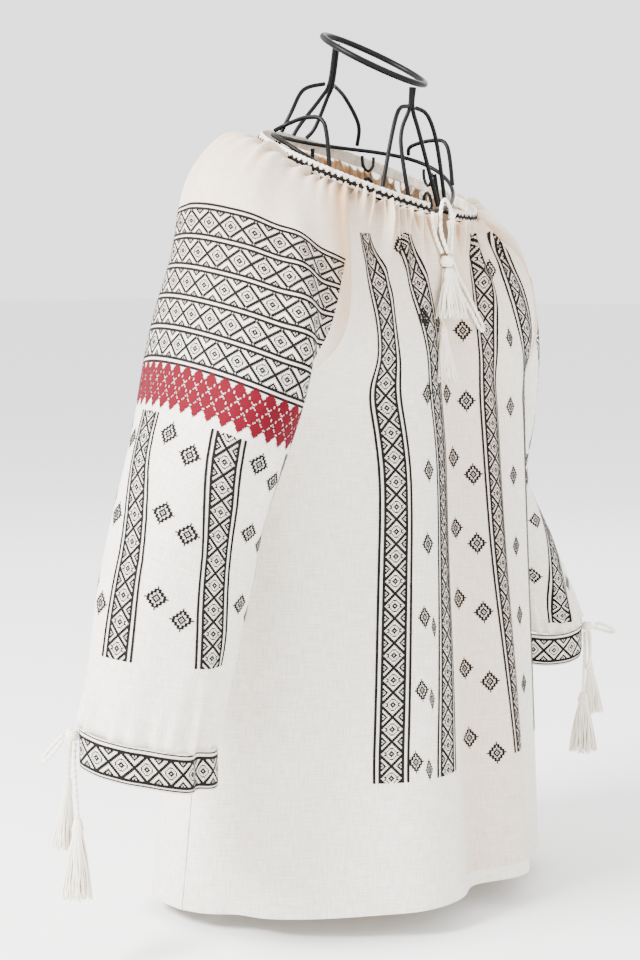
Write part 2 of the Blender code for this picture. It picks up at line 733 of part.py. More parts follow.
def both_sides(name, route, width, home, iron, ends=()):
    """A wire on each side. The route is x outwards, y and z above the slant; ends join a hoop."""
    for side, sign in (("right", -1), ("left", 1)):
        points = [Vector((sign * x, y, z + FORM_HANG * sign * x)) for x, y, z in route]
        points += [hoop_point(HOOPS[0], sign * turn, above=above) for turn, above in ends]
        tube(name + "_" + side, points, width, 0.014, home, iron)


def make_form(home, iron):
    """Neck ring, two posts, arches and scrolls above, plain ribs, hoops and a base ring below."""
    ring = []
    for i in range(16):
        turn = math.tau * i / 16
        x = RING_RADIUS * math.sin(turn)
        y = -RING_RADIUS * math.cos(turn)
        z = RING_CENTRE[2] + y * math.sin(RING_TILT) + RING_HANG * x
        ring.append((x, RING_CENTRE[1] + y * math.cos(RING_TILT), z))
    tube("form_neck_ring", ring, RING_WIRE, 0.010, home, iron, closed=True)
    for hoop in HOOPS:
        route = [hoop_point(hoop, math.tau * i / 16) for i in range(16)]
        tube(hoop[0], route, WIRE, 0.022, home, iron, closed=True)

    # Two wires side by side make each post, and they part below the neck.
    touch = WIRE + AIR
    under_ring = RING_WIRE / 2 + AIR + 0.0012
    half = touch / 2 + 0.0002
    top_front = Vector(ring[0]) - Vector((0, 0, under_ring))
    top_back = Vector(ring[8]) - Vector((0, 0, under_ring))
    posts = {
        "form_post_front_right": (-0.13, top_front, -1, ((0, -0.048, 0.718), (-0.010, -0.0462, 0.690))),
        "form_post_front_left": (0.30, top_front, 1, ((0, -0.048, 0.718), (0.009, -0.0488, 0.696))),
        "form_post_back_right": (
            -2.85,
            top_back,
            -1,
            ((0, 0.0438, 0.746), (-0.005, 0.0500, 0.732), (-0.022, 0.0600, 0.708)),
        ),
        "form_post_back_left": (
            -3.05,
            top_back,
            1,
            ((0, 0.0438, 0.746), (-0.001, 0.0500, 0.732), (-0.006, 0.0600, 0.706)),
        ),
    }
    for name, (turn, top, sign, bends) in posts.items():
        apart = Vector((sign * half, 0, 0))
        foot = hoop_point(HOOPS[0], turn, above=touch)
        tube(name, [top + apart, *[Vector(p) + apart for p in bends], foot], WIRE, 0.018, home, iron)

    arch_back = ((0.0072, 0.0460, 0.744), (0.030, 0.0516, 0.736), (0.048, 0.0506, 0.714))
    both_sides("form_arch_back", arch_back, WIRE, home, iron, ((2.60, touch),))
    arch_front = ((0.0066, -0.0486, 0.719), (0.021, -0.0505, 0.714), (0.033, -0.0520, 0.690))
    both_sides("form_arch_front", arch_front, WIRE, home, iron, ((0.46, touch),))
    shoulder = ((0.089, 0.020, 0.697), (0.090, -0.004, 0.7015), (0.089, -0.022, 0.696))
    route = [hoop_start(1.98, touch)] + list(shoulder)
    both_sides("form_arch_shoulder", route, WIRE, home, iron, ((1.02, touch),))
    make_scrolls(home, iron)
    make_ribs(home, iron)
    make_base(home, iron)


def hoop_start(turn, above):
    """A start over the left of the shoulder hoop, with the slant taken out again."""
    point = hoop_point(HOOPS[0], turn, above=above)
    return (point.x, point.y, point.z - FORM_HANG * point.x)


def make_scrolls(home, iron):
    """Plain scrolls: a bow of wire hung under the shoulder hoop, and an arch of wire below it."""
    for place, turn in (("back", 2.475), ("side", 1.693)):
        for name, sign, drop in (("form_bow_", 1, 0.0048), ("form_bend_", -1, 0.0250)):
            route = []
            for across, fall in SCROLL:
                level = drop + (fall if sign > 0 else SCROLL_HEIGHT - fall)
                route.append(hoop_start(turn + across / 0.085, -level))
            both_sides(name + place, route, WIRE * 0.8, home, iron)


# One bow of a scroll: across, and how far below its two ends.
SCROLL = ((-0.0055, 0.0), (-0.0050, 0.0085), (0.0, 0.0140), (0.0050, 0.0085), (0.0055, 0.0))
SCROLL_HEIGHT = 0.0140

# The side ribs go out under the shoulders first, where the blouse rests on them.
SHOULDER_WIRE = (
    (0.112, 0.001, 0.6340),
    (0.138, 0.001, 0.6270),
    (0.162, 0.002, 0.6010),
    (0.168, 0.003, 0.5600),
)


def make_ribs(home, iron):
    """Four ribs from under the shoulder hoop to the base, inside the hoops that they pass."""
    inside = WIRE + AIR
    for name, turn in (("front", 0.0), ("left", 90.0), ("back", 180.0), ("right", 270.0)):
        turn = math.radians(turn)
        route = [hoop_point(HOOPS[0], turn, above=-inside)]
        if name in ("left", "right"):
            sign = math.copysign(1.0, math.sin(turn))
            route += [Vector((sign * x, y, z)) for x, y, z in SHOULDER_WIRE]
        for hoop in HOOPS[1:]:
            route.append(hoop_point(hoop, turn, inside=inside, above=0.02))
            route.append(hoop_point(hoop, turn, inside=inside, above=-0.02))
        reach = BASE_RADIUS - BASE_WIDTH / 2
        foot = Vector((reach * math.sin(turn), BASE_CENTRE - reach * math.cos(turn), 0))
        route.append(foot + Vector((0, 0, 0.055)))
        route.append(foot + Vector((0, 0, BASE_THICK + AIR)))
        tube("form_rib_" + name, route, WIRE, 0.040, home, iron)


def make_base(home, iron):
    """A flat ring with one bar across it from front to back, cut from one plate."""
    cutters = collection("cutters")
    bpy.ops.mesh.primitive_cylinder_add(
        vertices=48, radius=BASE_RADIUS, depth=BASE_THICK, location=(0, BASE_CENTRE, BASE_THICK / 2)
    )
    base = bpy.context.object
    base.name = "form_base"
    for owner in list(base.users_collection):
        owner.objects.unlink(base)
    home.objects.link(base)
    base.data.materials.append(iron)
    hole = BASE_RADIUS - BASE_WIDTH
    for sign in (-1, 1):
        bm = bmesh.new()
        bmesh.ops.create_cone(
            bm, cap_ends=True, segments=48, radius1=hole, radius2=hole, depth=BASE_THICK * 3
        )
        plane = (sign * BASE_WIDTH / 2, 0, 0)
        geom = list(bm.verts) + list(bm.edges) + list(bm.faces)
        cut = bmesh.ops.bisect_plane(
            bm, geom=geom, plane_co=plane, plane_no=(sign, 0, 0), clear_inner=True
        )
        rim = [e for e in cut["geom_cut"] if isinstance(e, bmesh.types.BMEdge)]
        bmesh.ops.contextual_create(bm, geom=rim)
        bmesh.ops.recalc_face_normals(bm, faces=bm.faces)
        bmesh.ops.translate(bm, verts=bm.verts, vec=(0, BASE_CENTRE, 0))
        mesh = bpy.data.meshes.new("base_hole")
        bm.to_mesh(mesh)
        bm.free()
        cutter = bpy.data.objects.new("base_hole", mesh)
        cutters.objects.link(cutter)
        cutter.hide_render = True
        cutter.display_type = "WIRE"
        cut_out = base.modifiers.new("hole", "BOOLEAN")
        cut_out.operation = "DIFFERENCE"
        cut_out.object = cutter


# ---------------------------------------------------------------- all of it


def main():
    clear_scene()
    home = collection("ie_blouse_on_wire_form")
    cotton = material("cotton cloth, cream", (0.86, 0.82, 0.75), 0.9)
    yarn = material("twisted cotton cord, cream", (0.88, 0.85, 0.76), 0.85)
    iron = material("iron wire, black paint", (0.02, 0.02, 0.022), 0.45, 0.3)
    make_cloth(home, cotton)
    make_neck_tie(home, yarn)
    for side in ("right", "left"):
        make_cuff_tie(side, home, yarn)
    make_form(home, iron)


main()
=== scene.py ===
"""Looks of a Romanian ie blouse, filled out on a black wire dress form.

Metres, +Z up. The wearer's front faces -Y and the wearer's left is +X. The surfaces and their
tables are the part's own. A surface takes two numbers: "across" runs from -1 to 1 between two
seams, and "down" from 0 at the neckband through 1 at the underarm to 2 at the hem or the cuff.
"""

import json
import math

import bmesh
import bpy
import numpy as np
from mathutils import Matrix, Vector

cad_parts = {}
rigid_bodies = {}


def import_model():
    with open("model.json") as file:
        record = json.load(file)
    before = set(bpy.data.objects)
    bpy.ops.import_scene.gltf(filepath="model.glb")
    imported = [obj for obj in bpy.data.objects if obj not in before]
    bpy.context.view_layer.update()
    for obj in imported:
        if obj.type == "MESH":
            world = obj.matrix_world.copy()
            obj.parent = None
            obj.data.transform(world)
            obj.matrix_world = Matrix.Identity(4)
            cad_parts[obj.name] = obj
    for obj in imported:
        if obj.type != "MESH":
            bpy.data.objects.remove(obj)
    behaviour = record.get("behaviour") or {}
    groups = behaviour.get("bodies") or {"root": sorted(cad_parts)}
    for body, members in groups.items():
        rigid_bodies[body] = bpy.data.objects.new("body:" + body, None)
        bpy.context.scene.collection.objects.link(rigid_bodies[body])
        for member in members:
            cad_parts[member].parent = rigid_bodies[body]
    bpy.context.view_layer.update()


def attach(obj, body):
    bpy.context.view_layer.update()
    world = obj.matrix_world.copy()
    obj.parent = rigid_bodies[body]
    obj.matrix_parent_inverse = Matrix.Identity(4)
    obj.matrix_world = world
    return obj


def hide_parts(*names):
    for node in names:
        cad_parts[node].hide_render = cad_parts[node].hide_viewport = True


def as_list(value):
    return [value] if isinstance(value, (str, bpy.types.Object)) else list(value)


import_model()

# ---------------------------------------------------------------- driving sizes

SEAM = 0.0012  # between two cut edges that are sewn together
AIR = 0.0004  # between two solids that touch

NECK_HALF_WIDTH = 0.125
NECK_HALF_DEPTH = 0.080
NECK_HEIGHT = 0.6540
NECK_TILT = 0.407  # rise of the neckline towards the back, per metre of depth
HANG = -0.13  # the shoulders hang askew: rise towards the wearer's left, per metre of width

BAND_HEIGHT = 0.0095
BAND_LEAN = 0.30  # how far the neckband leans in, per metre of height

SLIT_OPEN = 0.125  # half the slit's opening at the neck, as a share of the half front
SLIT_END = 0.36  # how far down the slit runs
SLIT_CLOSED = 0.0012  # half the width of the strip of cloth that joins the two sides of the front

CUFF_HEIGHT = 0.033
CUFF_LIFT = 0.0006  # the cuff sits this far outside the end of the sleeve

CORD = 0.0036  # twisted cord, across
WIRE = 0.0038  # the form's round wire, across
RING_WIRE = 0.0056  # its neck ring

BASE_CENTRE = 0.035  # the base ring's middle, behind the origin
BASE_RADIUS = 0.080
BASE_WIDTH = 0.012
BASE_THICK = 0.004

# A row for each section of a sleeve, with x counted outwards from the body. Inner and outer are
# the points nearest to and farthest from the body, lateral is half the section from front to
# back, and spread is half the turn that the section makes: 180 closes it to a tube.
# down, inner x y z, outer x y z, lateral x y z, spread
SLEEVE_SECTIONS = {
    "right": (
        (0.00, 0.0991, -0.0028, 0.6529, 0.1249, -0.0035, 0.6526, 0.0054, 0.0798, 0.0325, 37.5),
        (0.25, 0.1225, -0.0080, 0.6400, 0.1620, -0.0080, 0.6580, 0.0030, 0.0862, 0.0280, 50.0),
        (0.50, 0.1525, -0.0180, 0.6040, 0.2130, -0.0240, 0.6320, 0.0027, 0.0888, 0.0240, 70.0),
        (0.75, 0.1750, -0.0280, 0.5420, 0.2540, -0.0480, 0.5680, 0.0015, 0.0850, 0.0250, 105.0),
        (1.00, 0.1866, 0.0000, 0.4550, 0.2970, -0.0660, 0.4850, 0.0000, 0.0780, 0.0240, 180.0),
        (1.35, 0.1980, -0.0100, 0.3600, 0.3160, -0.0280, 0.3850, 0.0000, 0.0640, 0.0180, 180.0),
        (1.70, 0.2140, -0.0100, 0.2850, 0.3310, -0.0120, 0.3020, 0.0000, 0.0580, 0.0130, 180.0),
        (2.00, 0.2330, -0.0040, 0.1900, 0.3420, -0.0020, 0.2060, 0.0000, 0.0520, 0.0080, 180.0),
    ),
    "left": (
        (0.00, 0.0991, -0.0028, 0.6529, 0.1249, -0.0035, 0.6526, 0.0054, 0.0798, 0.0325, 37.5),
        (0.25, 0.1205, -0.0020, 0.6400, 0.1570, 0.0040, 0.6560, 0.0120, 0.0840, 0.0275, 50.0),
        (0.50, 0.1480, -0.0030, 0.6060, 0.1970, 0.0120, 0.6220, 0.0180, 0.0850, 0.0240, 70.0),
        (0.75, 0.1720, 0.0000, 0.5400, 0.2350, 0.0350, 0.5600, 0.0140, 0.0780, 0.0220, 105.0),
        (1.00, 0.1866, 0.0000, 0.4550, 0.2680, 0.0640, 0.4780, 0.0100, 0.0660, 0.0200, 180.0),
        (1.35, 0.1990, 0.0160, 0.3750, 0.2720, 0.0560, 0.3950, 0.0040, 0.0560, 0.0160, 180.0),
        (1.70, 0.2100, 0.0060, 0.3000, 0.2900, 0.0180, 0.3150, 0.0000, 0.0500, 0.0130, 180.0),
        (2.00, 0.2330, -0.0060, 0.2140, 0.3180, -0.0060, 0.2280, 0.0000, 0.0440, 0.0080, 180.0),
    ),
}

# The middle of the front and of the back, and half the turn that the section makes.
# down, y, z, spread
FRONT_SECTIONS = (
    (0.00, -0.0800, 0.6214, 50.0),
    (0.25, -0.0850, 0.5880, 56.0),
    (0.50, -0.0910, 0.5500, 66.0),
    (0.75, -0.0960, 0.5030, 78.0),
    (1.00, -0.1010, 0.4550, 90.0),
    (1.25, -0.1100, 0.3500, 90.0),
    (1.60, -0.1270, 0.1900, 90.0),
    (2.00, -0.1420, 0.0260, 90.0),
)
BACK_SECTIONS = (
    (0.00, 0.0800, 0.6866, 55.0),
    (0.25, 0.0960, 0.6490, 60.0),
    (0.50, 0.1070, 0.5960, 68.0),
    (0.75, 0.1130, 0.5280, 78.0),
    (1.00, 0.1180, 0.4550, 90.0),
    (1.25, 0.1320, 0.3500, 90.0),
    (1.60, 0.1440, 0.1900, 90.0),
    (2.00, 0.1610, 0.0140, 90.0),
)

# The side seam below the underarm.
# down, x, y, z
SIDE_SECTIONS = (
    (1.00, 0.1854, 0.0000, 0.4550),
    (1.25, 0.1840, 0.0140, 0.3450),
    (1.60, 0.1870, 0.0380, 0.1850),
    (2.00, 0.1910, 0.0560, 0.0140),
)

# The body's seam stays this much nearer the middle than the sleeve's, where both meet.
UNDERARM_GAP = SIDE_SECTIONS[0][1] - SLEEVE_SECTIONS["right"][4][1]

# Folds that show from across a room. Across is where the fold's crest or trough runs, at its
# upper and its lower end, reach is its half width, and rise is out of the cloth, so a trough's
# is negative.
# across above, across below, reach, rise above, rise below, down from, down to
FRONT_FOLDS = (
    (0.045, 0.030, 0.115, -0.010, -0.026, 0.20, 2.30),
    (0.160, 0.180, 0.110, 0.003, 0.010, 0.45, 2.30),
    (-0.240, -0.270, 0.110, 0.003, 0.009, 0.45, 2.30),
    (0.260, 0.330, 0.060, -0.002, -0.002, 0.60, 2.30),
    (0.520, 0.580, 0.150, 0.006, 0.020, 0.60, 2.30),
    (-0.800, -0.820, 0.070, -0.003, -0.008, 1.05, 2.30),
)
BACK_FOLDS = (
    (-0.300, -0.340, 0.120, -0.004, -0.014, 0.40, 2.30),
    (-0.060, 0.020, 0.140, 0.003, 0.009, 0.50, 2.30),
    (0.330, 0.370, 0.110, -0.003, -0.013, 0.45, 2.30),
    (0.640, 0.700, 0.120, 0.003, 0.008, 0.90, 2.30),
    (-0.660, -0.720, 0.110, 0.003, 0.009, 0.85, 2.30),
)
SLEEVE_FOLDS = {
    "right": (
        (-0.560, -0.520, 0.110, 0.006, 0.003, 0.35, 1.40),
        (-0.760, -0.720, 0.100, -0.006, -0.004, 0.40, 1.50),
        (-0.300, -0.260, 0.120, -0.002, -0.005, 1.15, 2.40),
        (0.160, 0.120, 0.140, 0.001, 0.004, 1.10, 2.40),
        (-0.600, -0.560, 0.070, -0.001, -0.008, 1.60, 2.60),
        (0.600, 0.560, 0.120, -0.003, -0.005, 0.50, 2.40),
    ),
    "left": (
        (-0.540, -0.500, 0.110, 0.005, 0.003, 0.35, 1.40),
        (-0.740, -0.700, 0.100, -0.006, -0.004, 0.40, 1.50),
        (0.020, -0.020, 0.130, -0.002, -0.005, 1.15, 2.40),
        (0.420, 0.380, 0.120, 0.002, 0.004, 1.00, 2.40),
        (0.640, 0.600, 0.120, -0.003, -0.005, 0.50, 2.40),
    ),
}

# The direction from the middle of each cuff to its tie, from +X towards +Y.
TIE_TURN = {"right": math.radians(130.0), "left": math.radians(-42.0)}


# ---------------------------------------------------------------- smooth tables


def smooth_row(table, down):
    """The table's columns at one or many values of its first, on a curve through its rows."""
    rows = np.array(table, float)
    knots = rows[:, 0]
    values = rows[:, 1:]
    slopes = np.gradient(values, knots, axis=0)
    down = np.atleast_1d(np.asarray(down, float))
    i = np.clip(np.searchsorted(knots, down, side="right") - 1, 0, len(knots) - 2)
    span = (knots[i + 1] - knots[i])[:, None]
    t = ((down - knots[i])[:, None]) / span
    start = (2 * t**3 - 3 * t**2 + 1) * values[i]
    end = (3 * t**2 - 2 * t**3) * values[i + 1]
    leave = (t**3 - 2 * t**2 + t) * span * slopes[i]
    arrive = (t**3 - t**2) * span * slopes[i + 1]
    return start + end + leave + arrive


def smooth_step(low, high, value):
    t = np.clip((value - low) / (high - low), 0.0, 1.0)
    return t * t * (3 - 2 * t)


def fold_rise(folds, across, down):
    """How far the folds stand out of the cloth. They end before the seams."""
    rise = np.zeros(np.broadcast(across, down).shape)
    for above, below, reach, rise_above, rise_below, first, last in folds:
        share = np.clip((down - first) / (2.0 - first), 0.0, 1.0)
        middle = above + (below - above) * share
        height = rise_above + (rise_below - rise_above) * share
        fade = smooth_step(first, first + 0.35, down) * (1 - smooth_step(last - 0.35, last, down))
        rise += height * fade * np.exp(-(((across - middle) / reach) ** 2))
    return rise * (1 - smooth_step(0.86, 1.0, np.abs(across)))


def pushed_out(surface, folds, across, down):
    """The surface with its folds, each point moved along the surface's own normal."""
    step = 1e-4
    point = surface(across, down)
    along = surface(across + step, down) - surface(across - step, down)
    fall = surface(across, down - step) - surface(across, down + step)
    normal = np.cross(along, fall)
    normal /= np.linalg.norm(normal, axis=-1, keepdims=True) + 1e-12
    return point + normal * fold_rise(folds, across, down)[..., None]


# ---------------------------------------------------------------- surfaces


def hung(point, down):
    """The point with the shoulders' slant, which dies out above the underarm."""
    slant = HANG * (1 - smooth_step(0.0, 0.85, down)) * point[..., 0]
    return point + slant[..., None] * np.array([0.0, 0.0, 1.0])


def neck_point(turn):
    """A point on the neckline, turn 0 at the front and a quarter turn at the wearer's left."""
    x = NECK_HALF_WIDTH * np.sin(turn)
    y = -NECK_HALF_DEPTH * np.cos(turn)
    return hung(np.stack([x, y, NECK_HEIGHT + NECK_TILT * y], axis=-1), 0.0)


def sleeve_points(side, across, down):
    """A sleeve, x counted outwards: across is -1 at its front seam and 1 at its back seam."""
    shape = np.broadcast(across, down).shape
    across = np.broadcast_to(across, shape).ravel()
    down = np.broadcast_to(down, shape).ravel()
    row = smooth_row(SLEEVE_SECTIONS[side], down)
    inner, outer, lateral = row[:, 0:3], row[:, 3:6], row[:, 6:9]
    spread = np.radians(np.minimum(row[:, 9], 180.0))
    turn = spread * across
    share = (np.cos(turn) - np.cos(spread)) / (1 - np.cos(spread))
    point = inner + lateral * np.sin(turn)[:, None] + (outer - inner) * share[:, None]
    return point.reshape(shape + (3,))


def sleeve_surface(side):
    """The named sleeve. The wearer's right one is mirrored, and read from back to front."""

    def surface(across, down):
        if side == "left":
            return hung(sleeve_points(side, across, down), down)
        return hung(sleeve_points(side, -across, down) * np.array([-1.0, 1.0, 1.0]), down)

    return surface


def sleeve_with_folds(side):
    folds = SLEEVE_FOLDS[side]
    if side == "right":
        folds = [(-row[0], -row[1]) + row[2:] for row in folds]
    return lambda across, down: pushed_out(sleeve_surface(side), folds, across, down)


def seam_point(side, edge, down):
    """The raglan seam down to the underarm, then the side seam. Edge is -1 front, 1 back."""
    above = sleeve_points(side, np.full(down.shape, float(edge)), np.minimum(down, 1.0))
    below = smooth_row(SIDE_SECTIONS, np.maximum(down, 1.0))
    point = np.where((down < 1.0)[:, None], above, below)
    drift = smooth_step(0.5, 0.9, np.minimum(down, 1.0)) * (down < 1.0)
    point[:, 0] += drift * UNDERARM_GAP
    return point


def half_body(sections, edge, sign, across, down):
    """The front or the back: an arc from seam to seam through the middle line."""
    shape = np.broadcast(across, down).shape
    across = np.broadcast_to(across, shape).ravel()
    down = np.broadcast_to(down, shape).ravel()
    row = smooth_row(sections, down)
    on_left = (across * sign > 0)[:, None]
    seam = np.where(on_left, seam_point("left", edge, down), seam_point("right", edge, down))
    spread = np.radians(np.minimum(row[:, 2], 90.0))
    turn = spread * across
    share = (1 - np.cos(turn)) / (1 - np.cos(spread))
    x = sign * seam[:, 0] * np.sin(turn) / np.sin(spread)
    y = row[:, 0] + (seam[:, 1] - row[:, 0]) * share
    z = row[:, 1] + (seam[:, 2] - row[:, 1]) * share
    point = np.stack([x, y, z], axis=-1).reshape(shape + (3,))
    return hung(point, np.broadcast_to(down.reshape(shape), shape))


def front_surface(across, down):
    """The front with its slit, whose two sides spread apart towards the neck."""
    opening = SLIT_OPEN * np.clip(1 - down / SLIT_END, 0.0, 1.0)
    spread = np.sign(across) * opening + across * (1 - opening)
    return half_body(FRONT_SECTIONS, -1, 1.0, spread, down)


def back_surface(across, down):
    return half_body(BACK_SECTIONS, 1, -1.0, across, down)


def front_with_folds(across, down):
    return pushed_out(front_surface, FRONT_FOLDS, across, down)


def neckband_surface(across, down):
    """The band that the gathers are sewn into, from one edge of the slit round to the other."""
    slit_turn = SLIT_OPEN * math.radians(FRONT_SECTIONS[0][3])
    turn = math.pi + across * (math.pi - slit_turn)
    foot = neck_point(turn)
    height = BAND_HEIGHT * (1 - down) + SEAM
    inward = foot * np.array([-1.0, -1.0, 0.0])
    inward /= np.linalg.norm(inward, axis=-1, keepdims=True)
    tilted_up = np.array([0.0, -NECK_TILT, 1.0]) / math.hypot(1.0, NECK_TILT)
    way = tilted_up + inward * BAND_LEAN
    return foot + way * np.broadcast_to(height, foot.shape[:-1])[..., None]


def cuff_surface(side):
    """The cuff round the end of a sleeve, open by a slit behind its tie."""
    sleeve = sleeve_with_folds(side)
    end = sleeve_surface(side)(np.array([0.0, 1.0]), np.array([2.0, 2.0]))
    centre = end.mean(axis=0)
    turns = np.linspace(-1.0, 1.0, 721)
    rim = sleeve(turns, np.full(turns.shape, 2.0))
    angles = np.unwrap(np.arctan2(rim[:, 1] - centre[1], rim[:, 0] - centre[0]))
    slit = 0.0016 / 0.05
    first = TIE_TURN[side] + slit
    last = TIE_TURN[side] + 2 * math.pi - slit

    def surface(across, down):
        shape = np.broadcast(across, down).shape
        across = np.broadcast_to(across, shape).ravel()
        drop = np.broadcast_to(down, shape).ravel() * CUFF_HEIGHT
        angle = first + (last - first) * (across + 1) / 2
        low, high = min(angles[0], angles[-1]), max(angles[0], angles[-1])
        wrapped = (angle - low) % (2 * math.pi) + low
        order = np.argsort(angles)
        point = np.stack(
            [np.interp(np.minimum(wrapped, high), angles[order], rim[order, k]) for k in range(3)],
            axis=-1,
        )
        point[:, 2] -= drop
        outward = point - centre
        outward[:, 2] = 0
        outward /= np.linalg.norm(outward, axis=-1, keepdims=True)
        return (point + outward * CUFF_LIFT).reshape(shape + (3,))

    return surface


# ---------------------------------------------------------------- relief of the cloth


def raised(surface, rise, across, down):
    """The surface moved out along its own normal by rise(across, down)."""
    step = 1e-4
    point = surface(across, down)
    along = surface(across + step, down) - surface(across - step, down)
    fall = surface(across, down - step) - surface(across, down + step)
    normal = np.cross(along, fall)
    normal /= np.linalg.norm(normal, axis=-1, keepdims=True) + 1e-12
    return point + normal * rise(across, down)[..., None]


def gathers(count, depth, reach, seed, start=0.0, way=1.0):
    """Uneven ridges that run down from the neckband, or up from the cuff with way -1."""
    rng = np.random.default_rng(seed)
    ridges = []
    for k in range(count):
        ridges.append(
            (
                -1 + (2 * k + 1 + 0.7 * rng.uniform(-1, 1)) / count,
                (0.36 + 0.34 * rng.uniform()) / count,
                reach * (0.30 + 1.1 * rng.uniform() ** 2),
                depth * (0.5 + 0.9 * rng.uniform()),
                0.09 * rng.uniform(-1, 1),
            )
        )

    def rise(across, down):
        gone = np.maximum((down - start) * way, 0.0)
        total = np.zeros(np.broadcast(across, down).shape)
        for middle, half, length, height, lean in ridges:
            fade = height * np.exp(-((gone / length) ** 2))
            width = half * (1 + 2.4 * gone)
            total += fade * (np.exp(-(((across - middle - lean * gone) / width) ** 2)) - 0.886 * width)
        return total

    return rise


def ripples(seed, size, waves):
    """Soft shallow unevenness of hanging cloth, long down the piece and short across it."""
    rng = np.random.default_rng(seed)
    parts = [
        (rng.uniform(3, 9), rng.uniform(0.4, 2.2), rng.uniform(0, 6.28), rng.uniform(0.4, 1.0))
        for _ in range(waves)
    ]

    def rise(across, down):
        total = np.zeros(np.broadcast(across, down).shape)
        for turns, drift, phase, share in parts:
            total += share * np.sin(turns * across + drift * down * 3 + phase)
        return size * total / waves

    return rise


def fullness(size):
    """The sleeve's cloth stands up over the shoulder, above the embroidery."""

    def rise(across, down):
        share = smooth_step(0.02, 0.28, down) * (1 - smooth_step(0.45, 0.95, down))
        return size * share * np.exp(-(((across + 0.15) / 0.5) ** 2))

    return rise


def combined(surface, folds, others):
    """The surface with its folds and every other relief, all out along its normal."""

    def rise(across, down):
        seam = 1 - smooth_step(0.93, 1.0, np.abs(across)) * smooth_step(0.1, 0.5, down)
        total = fold_rise(folds, across, down)
        for other in others:
            total = total + other(across, down) * seam
        return total

    return lambda across, down: raised(surface, rise, across, down)


# The finest gathers are at the neck. Longer ones run out over the shoulders, over the bust
# and between the shoulder blades, and few are alike.
FRONT = combined(
    front_surface,
    FRONT_FOLDS,
    (gathers(27, 0.0090, 0.38, 3), gathers(13, 0.0060, 0.75, 4), ripples(5, 0.0018, 7)),
)
BACK = combined(
    back_surface,
    BACK_FOLDS,
    (gathers(27, 0.0090, 0.40, 6), gathers(12, 0.0042, 0.90, 7), ripples(8, 0.0028, 7)),
)
SLEEVES = {}
for _side, _seed in (("right", 9), ("left", 21)):
    _folds = SLEEVE_FOLDS[_side]
    if _side == "right":
        _folds = [(-row[0], -row[1]) + row[2:] for row in _folds]
    SLEEVES[_side] = combined(
        sleeve_surface(_side),
        _folds,
        (
            gathers(19, 0.0090, 0.30, _seed),
            gathers(10, 0.0060, 0.45, _seed + 1),
            gathers(18, 0.0048, 0.24, _seed + 2, 2.0, -1.0),
            fullness(0.009 if _side == "right" else 0.004),
            ripples(_seed + 3, 0.0013, 6),
        ),
    )


# ---------------------------------------------------------------- looks


def linear(colour):
    """The linear colour of an sRGB hex string."""
    parts = [int(colour[k : k + 2], 16) / 255 for k in (1, 3, 5)]
    return tuple(c / 12.92 if c <= 0.04045 else ((c + 0.055) / 1.055) ** 2.4 for c in parts)


def add(tree, kind, settings=(), **inputs):
    """A new node with its settings, and each input set to a value or linked from a socket."""
    made = tree.nodes.new(kind)
    for key, value in dict(settings).items():
        setattr(made, key, value)
    for key, value in inputs.items():
        socket = made.inputs[int(key[1:])] if key[0] == "i" and key[1:].isdigit() else made.inputs[key]
        if isinstance(value, bpy.types.NodeSocket):
            tree.links.new(value, socket)
        else:
            socket.default_value = value
    return made


def look(name, base, roughness, sheen=0.0, shine=0.5):
    """A new material with its shader set, its tree and that shader."""
    made = bpy.data.materials.new(name)
    made.use_nodes = True
    shader = made.node_tree.nodes["Principled BSDF"]
    shader.inputs["Base Color"].default_value = (*linear(base), 1.0)
    shader.inputs["Roughness"].default_value = roughness
    shader.inputs["Specular IOR Level"].default_value = shine
    shader.inputs["Sheen Weight"].default_value = sheen
    return made, made.node_tree, shader


def blend_colour(tree, factor, first, second):
    """One colour going over into another as the factor goes from 0 to 1; a colour may be a socket."""
    mixed = add(tree, "ShaderNodeMix", {"data_type": "RGBA"}, i0=factor)
    for index, value in ((6, first), (7, second)):
        if isinstance(value, bpy.types.NodeSocket):
            tree.links.new(value, mixed.inputs[index])
        else:
            mixed.inputs[index].default_value = (*linear(value), 1.0)
    return mixed.outputs[2]


def cotton_look():
    """Thin cream cotton: uneven yarns both ways give fine streaks, and painted warm shade darkens the
    gathers' hollows and the cloth near the neck.
    """
    made, tree, shader = look("cotton cloth, cream, thin and slubby", "#f0ebe2", 0.88, 0.25)
    uv = add(tree, "ShaderNodeUVMap", {"uv_map": "cloth"}).outputs[0]
    streaks = []
    for stretch in ((900.0, 70.0, 1.0), (60.0, 900.0, 1.0)):
        spread = add(tree, "ShaderNodeVectorMath", {"operation": "MULTIPLY"}, i0=uv, i1=stretch)
        noise = add(tree, "ShaderNodeTexNoise", {}, Vector=spread.outputs[0], Scale=1.0, Detail=2.0)
        streaks.append(noise.outputs[0])
    both = add(tree, "ShaderNodeMath", {"operation": "ADD"}, i0=streaks[0], i1=streaks[1]).outputs[0]
    yarn = add(tree, "ShaderNodeMapRange", {}, Value=both, i1=0.78, i2=1.22, i3=0.0, i4=1.0).outputs[0]
    plain = blend_colour(tree, yarn, "#e3dacb", "#f9f5ee")
    # Painted shade: a darker warm beige is blended in where the cloth's stored shade says, in the
    # gathers' hollows and near the neck.
    painted_shade = add(tree, "ShaderNodeAttribute", {"attribute_name": "painted_shade"}).outputs["Fac"]
    shaded_colour = blend_colour(tree, painted_shade, plain, "#c79a66")
    tree.links.new(shaded_colour, shader.inputs["Base Color"])
    bump = add(tree, "ShaderNodeBump", {}, Strength=0.35, Distance=0.0004, Height=both)
    tree.links.new(bump.outputs[0], shader.inputs["Normal"])
    # A little light comes through the open weave.
    glow = add(tree, "ShaderNodeBsdfTranslucent", {}, Color=shaded_colour)
    mixed = add(tree, "ShaderNodeMixShader", {}, i0=0.16, i1=shader.outputs[0], i2=glow.outputs[0])
    tree.links.new(mixed.outputs[0], tree.nodes["Material Output"].inputs[0])
    return made


